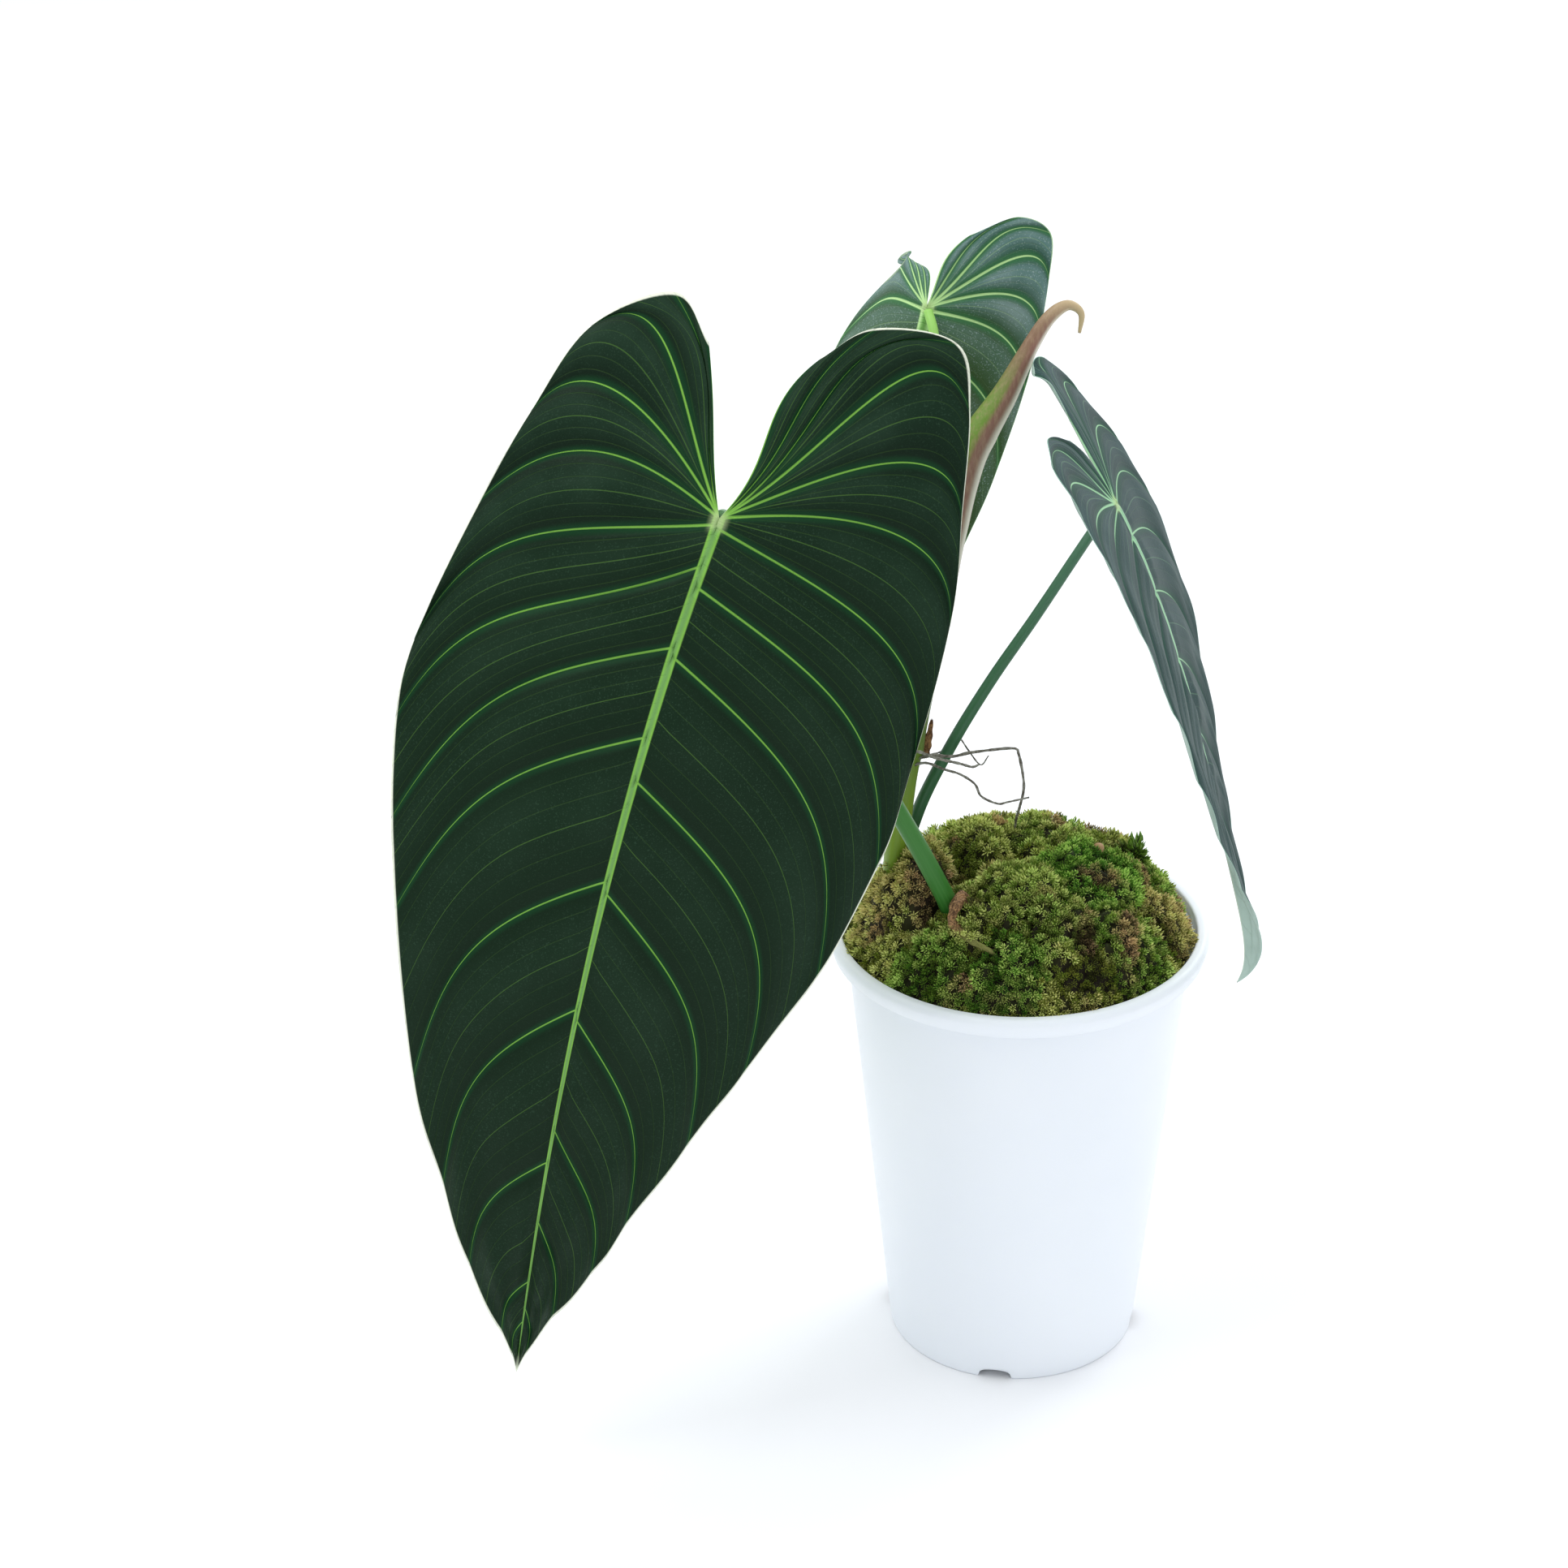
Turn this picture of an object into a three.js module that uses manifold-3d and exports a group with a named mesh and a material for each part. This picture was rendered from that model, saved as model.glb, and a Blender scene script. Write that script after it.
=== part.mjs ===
// Potted black gold philodendron: three hanging heart-shaped leaves and a rolled new one, on a
// short stem in a white nursery pot, under a mound of moss. Millimetres, +Z up, X to the right,
// Y to the back. The origin is the centre of the pot's foot, on the ground.
import * as THREE from "three";
import { mergeVertices } from "three/addons/utils/BufferGeometryUtils.js";
import Module from "manifold-3d";

const wasm = await Module();
wasm.setup();

// Driving dimensions
const GAP = 0.3; // clearance where two pieces touch

const POT = {
  height: 165,
  footRadius: 44.9,
  neckRadius: 61.4, // outer wall, right under the rim
  neckHeight: 161.2,
  rimRadius: 67.5,
  rimRound: 2.5, // radius of the rim's outer edge
  lipRadius: 62.9,
  lipRound: 1,
  lipHeight: 3, // below this the lip slopes in to the wall
  lipSlope: 9,
  skirtHeight: 7, // the rim is turned down by this much
  skirtWall: 1.6,
  wall: 1.6,
  channelHeight: 4, // the drain channel's ceiling above the ground
  channelInner: 26,
  channelOuter: 42.9,
  draft: 1.5, // how far the centre's foot stands in from the channel's wall
  footDraft: 0.3,
  drains: 8,
  drainRadius: 4,
  notches: 4,
  notchWidth: 12,
  notchSides: 1.5, // height of the notch's upright sides, under its arch
  notchTop: 3.8,
  notchFirst: -100.9, // degrees from +X, the notch that shows at the front
  segments: 48,
};

const FILL = {
  floor: 7, // underside of the mix, clear of the pot's floor
  radius: 61.4, // of the mound, at the rim
  edge: 155, // height of the mix at the pot's wall
  rise: 29.5, // of the mix, in the middle
  power: 2.7, // flat on top, steep at the edge
  wallRadius: 58.6, // of the mix at the top, clear of the pot's wall
  floorRadius: 43.2,
};

const MOSS = {
  radius: 61.2,
  cover: 6, // thickness between the cushions
  under: 1.2, // the gap between the mix and the moss
  lumpRise: 1.1,
  lumpLength: 9.5,
  rings: 13,
  sectors: 50,
};
// The moss's cushions: [x, y, reach, rise]. The tall one hides the foot of the stem.
const CUSHIONS = [
  [-50, -20, 13, 6],
  [-31, -44, 15, 6],
  [-8, -48, 13, 6],
  [20, -48, 12, 6.5],
  [35, -35, 15, 6.5],
  [52, -9, 12, 5],
  [45, 8, 14, 6],
  [24, -6, 17, 7.5],
  [8, 14, 17, 7.5],
  [-16, 11, 15, 8.5],
  [-41, -10, 15, 19],
  [1, -22, 15, 6.5],
  [12, -36, 13, 5.5],
  [-16, -31, 14, 6.5],
  [34, 26, 15, 6],
  [12, 38, 15, 6],
  [-12, 37, 15, 6],
  [-34, 27, 15, 6],
  [-51, 6, 13, 6],
  [38, 44, 11, 5],
  [-32, 48, 11, 5],
  [5, 55, 12, 5],
];

// Leaf outlines, flat. Each row is one side vein: where it leaves the midrib, where it ends on
// the margin (along the leaf from the stalk, and across), and its leaving and arriving angle
// from the direction of the tip. The first row is the edge of the bay, the last is the tip.
const OLD_RIGHT_VEINS = [
  [0, -60, 11, 156, 150],
  [0, -76, 23, 151, 148],
  [0, -83, 49, 143, 102],
  [0, -64, 62, 137, 42],
  [0, -28, 74, 131, 24],
  [0, 10, 84, 115, 14],
  [3, 66, 88, 79, 3],
  [23, 104, 87, 72, 10],
  [47, 149, 77, 65, 3],
  [90, 190, 60, 59, -3],
  [130, 222, 46, 50, 0],
  [177, 258, 30, 40, -2],
  [220, 280, 21, 30, -2],
  [258, 300, 10, 26, 0],
  [296, 317, 2.6, 22, -2],
  [326, 326, 0, 10, 10],
];
const OLD_LEFT_VEINS = [
  [0, -50, 24, 152, 150],
  [0, -60, 41, 145, 122],
  [0, -40, 62, 138, 36],
  [0, -9, 70, 131, 18],
  [0, 22, 76, 110, 28],
  [2, 70, 83, 66, 12],
  [16, 95, 82, 50, 16],
  [44, 127, 75, 62, 18],
  [75, 156, 67, 60, 17],
  [126, 214, 50, 57, 4],
  [173, 252, 34, 50, -1],
  [233, 283, 21, 48, -2],
  [284, 309, 7, 42, 0],
  [302, 318, 2.4, 30, -2],
  [326, 326, 0, 10, 10],
];
const YOUNG_VEINS = [
  [0, -27, 8, 172, 138],
  [0, -37, 23, 158, 120],
  [0, -34, 36, 140, 80],
  [0, -18, 40, 131, 25],
  [0, 1, 42, 119, 20],
  [1, 23, 42, 92, 18],
  [12, 54, 39, 68, 10],
  [33, 84, 33, 60, 6],
  [58, 111, 26, 54, 3],
  [85, 135, 18, 48, 0],
  [114, 156, 10, 40, 0],
  [182, 182, 0, 10, 10],
];
const VEIN_REACH = 0.46; // how far a vein keeps its first direction, of its own length

// Leaf postures. junction is where the stalk meets the blade. facing turns the upper side from
// the front to the right. hang, lean and twist bend the midrib outward, sideways and about
// itself, in degrees, as polynomials of the share of its length. fold and curl bend each half
// across, roll curls a basal lobe beyond a place on the axis, in degrees a millimetre. tipHang
// and tipFold are added near the tip: [degrees at the tip, power of the share of the length].
const NO_ROLL = [-Infinity, 0];
const FRONT_LEAF = {
  junction: [-102.3, -65, 352.3],
  length: 326,
  scale: 1,
  halfWidth: 90,
  facing: 0,
  hang: [18, -26],
  lean: [-21, 19, -6],
  twist: [0],
  left: { veins: OLD_LEFT_VEINS, fold: [-6], curl: [-14], wide: 1, lobe: 1, roll: NO_ROLL },
  right: { veins: OLD_RIGHT_VEINS, fold: [-4], curl: [-12], wide: 1, lobe: 1, roll: NO_ROLL },
  quilt: 3,
  ruffle: 1.2,
  midrib: [2.7, 3.2],
  columns: 6,
};
const RIGHT_LEAF = {
  junction: [27.3, -32, 341.3],
  length: 190,
  scale: 1.045,
  halfWidth: 48,
  facing: 84,
  hang: [26, -36, 26],
  lean: [3, -3],
  twist: [0, -2, -11],
  tipHang: [-50, 20],
  left: {
    veins: YOUNG_VEINS,
    fold: [-4.5],
    tipFold: [80, 8],
    curl: [6],
    wide: 1.15,
    lobe: 1.12,
    roll: NO_ROLL,
  },
  right: {
    veins: YOUNG_VEINS,
    fold: [-3, 19, -16],
    tipFold: [42, 7],
    curl: [4, 10],
    wide: 1.15,
    lobe: 1.18,
    roll: [-40, -18],
  },
  quilt: 1.9,
  ruffle: 0.5,
  midrib: [1.7, 2],
  columns: 5,
};
const BACK_LEAF = {
  junction: [-32.8, 34, 384.7],
  length: 182,
  scale: 1,
  halfWidth: 42,
  facing: 0,
  hang: [10, -20],
  lean: [-14, 8],
  twist: [0],
  left: {
    veins: YOUNG_VEINS,
    fold: [-42, 60, -40],
    curl: [-60, 300, -500, 250],
    wide: 0.86,
    lobe: 0.76,
    roll: [0, -5.2],
  },
  right: { veins: YOUNG_VEINS, fold: [-8], curl: [-15], wide: 1, lobe: 1, roll: NO_ROLL },
  quilt: 1.9,
  ruffle: 0.5,
  midrib: [1.7, 2],
  columns: 5,
};
const BLADE_THICKNESS = 0.8;
const VEIN_ROWS = [0, 0.14, 0.5, 0.86]; // rows of points between one vein and the next
const VEIN_RIDGE = 0.8; // height of a vein's ridge on the underside, by the midrib
const MIDRIB_STEPS = 18;
const MIDRIB_TAPER = 0.8; // the share of its width and depth that the midrib loses to the tip
const FULL_QUILT = 30; // veins this far apart have the full pillow between them
const MARGIN_WAVES = 1.7; // half waves along the margin for each vein

// Stalks, stem, roots and the new leaf: paths through these points, [x, y, z].
const STEM = {
  path: [[-46, -6, 120], [-44.6, -4.5, 175], [-42, -2.5, 215], [-37, 1, 245], [-30, 6, 282]],
  radius: [4.8, 4.2],
};
const FRONT_STALK = {
  path: [[-12, -16, 130], [-22.5, -23, 176], [-34.6, -31, 208.8], [-62, -40, 267], [-90, -43, 327],
    [-100, -52.5, 346], [-102, -60.2, 350.7]],
  radius: [3.7, 2.5],
};
const RIGHT_STALK = {
  path: [[-41, 9, 130], [-40, 6.5, 185], [-35.9, 3, 209], [-24.9, 0.5, 235.7], [-11.7, -3.5, 262.6],
    [2.8, -10, 290.1], [16.2, -19, 318.2], [22, -28.5, 333.5], [24.4, -31.7, 339.8]],
  radius: [2.6, 1.65],
};
const BACK_STALK = {
  path: [[-32.8, 8.4, 284.8], [-35.5, 11, 310], [-35, 14.5, 340], [-31.4, 20, 361], [-30.6, 26, 377],
    [-32.2, 31, 383.6]],
  radius: [2.2, 1.7],
};
const NEW_LEAF = {
  path: [[-27.9, 4.4, 284.8], [-25, 8, 312], [-19, 12, 340], [-7, 14, 362], [1.5, 17, 378],
    [7.5, 18.5, 387], [13.5, 20, 390.5], [18, 20, 387.6], [17.6, 19, 381]],
  radius: [2.2, 3.6, 4.4, 4.9, 5.1, 4, 2.9, 2.1, 0.5],
  overlap: 0.22, // the rolled edge stands out by this share of the radius
};
const ROOTS = [
  {
    path: [[-40, -1.5, 231], [-32.3, -4, 234.6], [-24.2, -5, 234.8], [-17.6, -6, 236.8],
      [-3.9, -6, 238.2], [-1.6, -6, 235.9], [0.3, -5, 225.6], [0.4, -4, 219.9], [-0.5, 0, 212],
      [-1.2, 10, 200], [-1.2, 14, 186]],
    radius: 0.6,
  },
  {
    path: [[-40, -2, 229], [-33.8, -6, 232.9], [-27.2, -9, 231.8], [-21.9, -11, 230.9],
      [-16.9, -12, 227.6], [-14.6, -12, 222.8], [-8.9, -11, 219.3], [-5.2, -9.5, 219.1],
      [2.2, -8.5, 220.3]],
    radius: 0.5,
  },
  {
    path: [[-40, -2.5, 235], [-36.3, -6, 237.3], [-30.3, -9, 236.3], [-21.9, -10, 234.5],
      [-17.7, -9, 232.7], [-15.1, -8, 233.2]],
    radius: 0.6,
  },
  {
    path: [[-40, -1, 232], [-31.4, -1.5, 233.9], [-28.4, 3, 232.4], [-25.4, 6.5, 232.6],
      [-22.6, 7.5, 234.9], [-21, 6, 235.7], [-18.6, 2, 233.6], [-14.6, -4, 230.9],
      [-11.9, -5, 234.9]],
    radius: 0.4,
  },
];
const SHEATH = {
  path: [[-34, 0.5, 231.5], [-32.6, 0.8, 238], [-31.3, 1.5, 246]],
  width: 3.4,
  taper: 0.75, // the share of its width that it loses to the top
  bow: 0.25, // how far its edges bend back, per square millimetre from the middle
  thickness: 0.9,
  steps: 6,
  columns: 4,
};
const DRY_ROOT = {
  path: [[-19, -24, 184], [-21.1, -26.5, 190.6], [-23.8, -31.5, 191.2], [-25.1, -34.5, 187.1],
    [-23.2, -38, 184.5], [-18, -42.5, 182.4], [-11.9, -44.8, 179.5], [-9, -45.5, 176]],
  radius: [1.5, 0.9],
};
const PELLET = { centre: [27.8, 4, 193], radius: 2.1 };

const COLOURS = {
  pot: 0xeef2fa,
  mix: 0x3f2f22,
  moss: 0x6a7a2c,
  blade: 0x1c3a2a,
  youngBlade: 0x44625a,
  stalk: 0x4c9552,
  stem: 0x5f8a3c,
  newLeaf: 0x8a7a52,
  dry: 0x7a5638,
  pellet: 0xb08a5c,
};

// Small maths
const rad = THREE.MathUtils.degToRad;
const vector = (p) => new THREE.Vector3(...p);
const polynomial = (c, q) => c.reduce((sum, value, i) => sum + value * q ** i, 0);
const nearTip = ([amount, power] = [0, 1], q) => amount * Math.max(q, 0) ** power;

function smoothRows(rows, v) {
  const last = rows.length - 1;
  const k = Math.min(Math.floor(v), last - 1);
  const f = v - k;
  const row = (i) => rows[Math.max(0, Math.min(last, i))];
  const extend = (a, b) => a.map((value, i) => 2 * value - b[i]);
  const p0 = k === 0 ? extend(row(0), row(1)) : row(k - 1);
  const p3 = k === last - 1 ? extend(row(last), row(last - 1)) : row(k + 2);
  return row(k).map((p1, i) => {
    const p2 = row(k + 1)[i];
    const bend = 2 * p0[i] - 5 * p1 + 4 * p2 - p3[i] + f * (3 * (p1 - p2) + p3[i] - p0[i]);
    return p1 + 0.5 * f * (p2 - p0[i] + f * bend);
  });
}

// Solids
function toManifold(geometry) {
  const bare = geometry.index ? geometry.toNonIndexed() : geometry.clone();
  const only = new THREE.BufferGeometry().setAttribute("position", bare.getAttribute("position"));
  const merged = mergeVertices(only, 1e-4);
  const mesh = new wasm.Mesh({
    numProp: 3,
    vertProperties: merged.attributes.position.array,
    triVerts: new Uint32Array(merged.index.array),
  });
  return new wasm.Manifold(mesh);
}

function toGeometry(solid) {
  const mesh = solid.getMesh();
  const geometry = new THREE.BufferGeometry();
  geometry.setAttribute("position", new THREE.BufferAttribute(mesh.vertProperties, 3));
  geometry.setIndex(new THREE.BufferAttribute(mesh.triVerts, 1));
  return geometry;
}

// A sheet of triangles between an upper and a lower set of points, closed along its free edge.
function thickSheet(upper, lower, triangles) {
  const free = new Map();
  const index = [];
  for (const [a, b, c] of triangles) {
    index.push(2 * a, 2 * b, 2 * c, 2 * a + 1, 2 * c + 1, 2 * b + 1);
    for (const [from, to] of [[a, b], [b, c], [c, a]]) {
      if (!free.delete(`${to},${from}`)) free.set(`${from},${to}`, [from, to]);
    }
  }
  for (const [a, b] of free.values()) {
    index.push(2 * b, 2 * a, 2 * a + 1, 2 * b, 2 * a + 1, 2 * b + 1);
  }
  const points = [];
  upper.forEach((point, i) => points.push(point, lower[i]));
  const geometry = new THREE.BufferGeometry().setFromPoints(points);
  geometry.setIndex(index);
  return geometry;
}

// A closed tube along a smooth path. section(turn, along) gives the radius at a turn of 0 to 1.
function sweep(path, sides, steps, section) {
  const curve = new THREE.CatmullRomCurve3(path.map(vector), false, "catmullrom", 0.5);
  const frames = curve.computeFrenetFrames(steps, false);
  const points = [];
  for (let i = 0; i <= steps; i++) {
    const centre = curve.getPointAt(i / steps);
    for (let j = 0; j < sides; j++) {
      const angle = (2 * Math.PI * j) / sides;
      const reach = section(j / sides, i / steps);
      const across = frames.normals[i].clone().multiplyScalar(reach * Math.cos(angle));
      across.addScaledVector(frames.binormals[i], reach * Math.sin(angle));
      points.push(centre.clone().add(across));
    }
  }
  const index = [];
  for (let i = 0; i < steps; i++) {
    for (let j = 0; j < sides; j++) {
      const a = i * sides + j;
      const b = i * sides + ((j + 1) % sides);
      index.push(a, b, a + sides, b, b + sides, a + sides);
    }
  }
  const first = points.push(curve.getPointAt(0)) - 1;
  const last = points.push(curve.getPointAt(1)) - 1;
  const lastRing = steps * sides;
  for (let j = 0; j < sides; j++) {
    const k = (j + 1) % sides;
    index.push(first, k, j, last, lastRing + j, lastRing + k);
  }
  const geometry = new THREE.BufferGeometry().setFromPoints(points);
  geometry.setIndex(index);
  return geometry;
}

const taper = ([from, to], extra = 0) => (turn, along) => from + (to - from) * along + extra;
const steady = (radius, extra = 0) => () => radius + extra;

// Leaf blades
const GAUSS = [
  [0.04691, 0.118463],
  [0.230765, 0.239314],
  [0.5, 0.284444],
  [0.769235, 0.239314],
  [0.95309, 0.118463],
];

// Directions at a distance s along the midrib: to the tip, across to the right, out of the face.
function midribFrame(leaf, s) {
  const q = s / leaf.length;
  const hang = rad(polynomial(leaf.hang, q) + nearTip(leaf.tipHang, q));
  const lean = rad(polynomial(leaf.lean, q));
  const twist = rad(polynomial(leaf.twist, q));
  const facing = rad(leaf.facing);
  const out = new THREE.Vector3(Math.sin(facing), -Math.cos(facing), 0);
  const side = new THREE.Vector3(Math.cos(facing), Math.sin(facing), 0);
  const up = new THREE.Vector3(0, 0, 1);
  const tip = out.clone().multiplyScalar(Math.sin(hang)).addScaledVector(up, -Math.cos(hang));
  tip.multiplyScalar(Math.cos(lean)).addScaledVector(side, Math.sin(lean));
  const face = out.clone().multiplyScalar(Math.cos(hang)).addScaledVector(up, Math.sin(hang));
  const across = face.clone().cross(tip);
  return {
    tip,
    across: across.clone().multiplyScalar(Math.cos(twist)).addScaledVector(face, Math.sin(twist)),
    face: face.multiplyScalar(Math.cos(twist)).addScaledVector(across, -Math.sin(twist)),
  };
}

function midribPoint(leaf, s) {
  const point = vector(leaf.junction);
  for (const [place, weight] of GAUSS) {
    point.addScaledVector(midribFrame(leaf, s * place).tip, s * weight);
  }
  return point;
}

// The flat place [along, across] at vein number v and a share u of the way to the margin.
function flatPlace(half, scale, v, u) {
  const [start, along, across, leaving, arriving] = smoothRows(half.veins, v);
  const reach = VEIN_REACH * Math.hypot(along - start, across);
  const pull = (angle) => new THREE.Vector2(Math.cos(rad(angle)), Math.sin(rad(angle)));
  const first = new THREE.Vector2(start, 0);
  const last = new THREE.Vector2(along, across);
  const vein = new THREE.CubicBezierCurve(
    first,
    first.clone().addScaledVector(pull(leaving), reach),
    last.clone().addScaledVector(pull(arriving), -reach),
    last,
  );
  return vein.getPoint(u).multiplyScalar(scale);
}

// The place in space of a flat place, raised from the blade's middle surface by a height.
function bladePoint(leaf, sideSign, place, height) {
  const half = sideSign < 0 ? leaf.left : leaf.right;
  const across = place.y * half.wide;
  let s = place.x < 0 ? place.x * half.lobe : place.x;
  let lift = height;
  const [rollStart, rollRate] = half.roll;
  if (s < rollStart) {
    const turn = rad(rollRate) * (rollStart - s);
    lift += (1 - Math.cos(turn)) / rad(rollRate);
    s = rollStart - Math.sin(turn) / rad(rollRate);
  }
  const q = s / leaf.length;
  const fold = rad(polynomial(half.fold, q) + nearTip(half.tipFold, q));
  const bend = rad(polynomial(half.curl, q)) / leaf.halfWidth;
  const edge = fold + bend * across;
  const sideways = (Math.sin(edge) - Math.sin(fold)) / bend;
  lift += (Math.cos(fold) - Math.cos(edge)) / bend;
  const frame = midribFrame(leaf, s);
  const point = midribPoint(leaf, s).addScaledVector(frame.across, sideSign * sideways);
  return point.addScaledVector(frame.face, lift);
}

// The quilted relief: valleys along the veins, pillows between them, a slow wave at the margin.
function quiltHeight(leaf, half, v, u) {
  const last = half.veins.length - 1;
  const before = flatPlace(half, leaf.scale, Math.max(v - 0.5, 0), u);
  const after = flatPlace(half, leaf.scale, Math.min(v + 0.5, last), u);
  const room = Math.min(1, before.distanceTo(after) / FULL_QUILT);
  const pillow = Math.abs(Math.sin(Math.PI * v)) ** 0.8 * (1 - 0.55 * u ** 3);
  const wave = Math.sin(MARGIN_WAVES * Math.PI * v + half.veins.length) * u ** 4;
  return leaf.quilt * room * pillow + leaf.ruffle * wave * Math.sin((Math.PI * v) / last);
}

// One half's rows of points, from the bay to the tip, each from the midrib's edge to the margin.
function bladeRows(leaf, side, midribHalf, addPoint) {
  const rows = [];
  for (let k = 0; k < side.veins.length - 1; k++) {
    for (const step of VEIN_ROWS) {
      const v = k + step;
      const start = flatPlace(side, leaf.scale, v, 0);
      const length = start.distanceTo(flatPlace(side, leaf.scale, v, 1));
      const edge = Math.min(0.5, midribHalf(start.x) / length);
      const ids = [];
      for (let j = 0; j < leaf.columns; j++) {
        const u = edge + ((1 - edge) * j) / (leaf.columns - 1);
        const ridge = step === 0 ? VEIN_RIDGE * (1 - u) : 0;
        ids.push(addPoint(flatPlace(side, leaf.scale, v, u), quiltHeight(leaf, side, v, u), ridge));
      }
      rows.push({ s: flatPlace(side, leaf.scale, v, edge).x, ids });
    }
  }
  return rows;
}

// The blade as one thick sheet: a midrib line, and each half's rows joined to it and the tip.
function bladeGeometry(leaf) {
  const upper = [];
  const lower = [];
  const half = BLADE_THICKNESS / 2;
  const add = (sideSign, place, height, ridge) => {
    upper.push(bladePoint(leaf, sideSign, place, height + half));
    lower.push(bladePoint(leaf, sideSign, place, height - half - ridge));
    return upper.length - 1;
  };
  const triangles = [];
  const [midribWidth, midribDepth] = leaf.midrib;
  const shrink = (s) => 1 - MIDRIB_TAPER * Math.max(0, s / leaf.length);
  const centre = [];
  for (let k = 0; k <= MIDRIB_STEPS; k++) {
    const s = (leaf.length * k) / MIDRIB_STEPS;
    const depth = k < MIDRIB_STEPS ? midribDepth * shrink(s) : 0;
    centre.push({ s, id: add(1, new THREE.Vector2(s, 0), 0, depth) });
  }
  const tip = centre[MIDRIB_STEPS];
  for (const [sideSign, side] of [[-1, leaf.left], [1, leaf.right]]) {
    const face = (a, b, c) => {
      if (a !== b && b !== c) triangles.push(sideSign > 0 ? [a, b, c] : [a, c, b]);
    };
    const addPoint = (place, height, ridge) => add(sideSign, place, height, ridge);
    const rows = bladeRows(leaf, side, (s) => midribWidth * shrink(s), addPoint);
    rows.push({ s: leaf.length, ids: rows[0].ids.map(() => tip.id) });
    for (let i = 0; i + 1 < rows.length; i++) {
      const ids = rows[i].ids;
      const next = rows[i + 1].ids;
      for (let j = 0; j + 1 < ids.length; j++) {
        face(ids[j], next[j], ids[j + 1]);
        face(next[j], next[j + 1], ids[j + 1]);
      }
    }
    // The strip between the midrib's line and the first column steps along both in turn.
    let c = 0;
    let e = 0;
    while (c + 1 < centre.length || e + 2 < rows.length) {
      const edgeId = rows[e].ids[0];
      if (c + 1 === centre.length || (e + 2 < rows.length && rows[e + 1].s < centre[c + 1].s)) {
        face(centre[c].id, rows[e + 1].ids[0], edgeId);
        e += 1;
      } else {
        face(centre[c].id, centre[c + 1].id, edgeId);
        c += 1;
      }
    }
  }
  return thickSheet(upper, lower, triangles);
}

// Pot: one moulding, turned, with drain holes in its floor and notches in its foot
// A rounded corner of the profile, whose outermost radius and top are given.
function cornerArc(outer, top, size, from, to, steps) {
  const points = [];
  for (let i = 0; i <= steps; i++) {
    const angle = rad(from + ((to - from) * i) / steps);
    const radius = outer - size + size * Math.cos(angle);
    points.push(new THREE.Vector2(radius, top - size + size * Math.sin(angle)));
  }
  return points;
}

function potGeometry() {
  const p = (x, y) => new THREE.Vector2(x, y);
  const top = POT.height;
  const floorTop = POT.channelHeight + POT.wall;
  const skirtFoot = top - POT.skirtHeight;
  const slope = (POT.neckRadius - POT.footRadius) / POT.neckHeight;
  const innerWall = (z) => POT.footRadius + slope * z - POT.wall;
  const skirtInner = POT.rimRadius - POT.skirtWall - 1.2;
  const centreTop = POT.wall + 0.6;
  const profile = [
    p(0, 0),
    p(POT.channelInner - POT.draft, 0),
    p(POT.channelInner, POT.channelHeight),
    p(POT.channelOuter, POT.channelHeight),
    p(POT.channelOuter + POT.footDraft, 0),
    p(POT.footRadius, 0),
    p(POT.neckRadius, POT.neckHeight),
    p(skirtInner + 0.2, POT.neckHeight),
    p(skirtInner, skirtFoot),
    p(skirtInner + POT.skirtWall, skirtFoot),
    ...cornerArc(POT.rimRadius, top, POT.rimRound, 0, 90, 4),
    ...cornerArc(POT.lipRadius + 2 * POT.lipRound, top, POT.lipRound, 90, 180, 2),
    p(POT.lipRadius - 0.6, top - POT.lipHeight),
    p(innerWall(top - POT.lipSlope), top - POT.lipSlope),
    p(innerWall(floorTop), floorTop),
    p(POT.channelInner - 2, floorTop),
    p(POT.channelInner - 2 * POT.wall, centreTop),
    p(0, centreTop),
  ];
  let pot = toManifold(new THREE.LatheGeometry(profile, POT.segments).rotateX(Math.PI / 2));
  const through = 2 * POT.channelHeight; // length of a cutter that passes through a wall
  const upright = new THREE.CylinderGeometry(POT.drainRadius, POT.drainRadius, through, 12);
  const drain = upright.rotateX(Math.PI / 2);
  for (let i = 0; i < POT.drains; i++) {
    const angle = (2 * Math.PI * (i + 0.5)) / POT.drains;
    const reach = (POT.channelInner + POT.channelOuter) / 2;
    const place = polar(reach, angle, POT.channelHeight);
    pot = pot.subtract(toManifold(drain.clone().translate(...place)));
  }
  const side = POT.notchWidth / 2;
  const arch = new THREE.Shape();
  arch.moveTo(-side, -POT.wall);
  arch.lineTo(side, -POT.wall);
  arch.lineTo(side, POT.notchSides);
  arch.quadraticCurveTo(side, POT.notchTop, 0, POT.notchTop);
  arch.quadraticCurveTo(-side, POT.notchTop, -side, POT.notchSides);
  const cutter = new THREE.ExtrudeGeometry(arch, {
    depth: through,
    bevelEnabled: false,
    curveSegments: 4,
  });
  cutter.rotateX(Math.PI / 2).rotateZ(Math.PI / 2).translate(POT.channelOuter - 3, 0, 0);
  for (let i = 0; i < POT.notches; i++) {
    const angle = rad(POT.notchFirst + (360 * i) / POT.notches);
    pot = pot.subtract(toManifold(cutter.clone().rotateZ(angle)));
  }
  return pot;
}

// Fill: the mound of potting mix, and the moss that covers it
function moundHeight(reach) {
  const share = Math.min(1, reach / FILL.radius);
  return FILL.edge + FILL.rise * (1 - share ** FILL.power);
}

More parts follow.
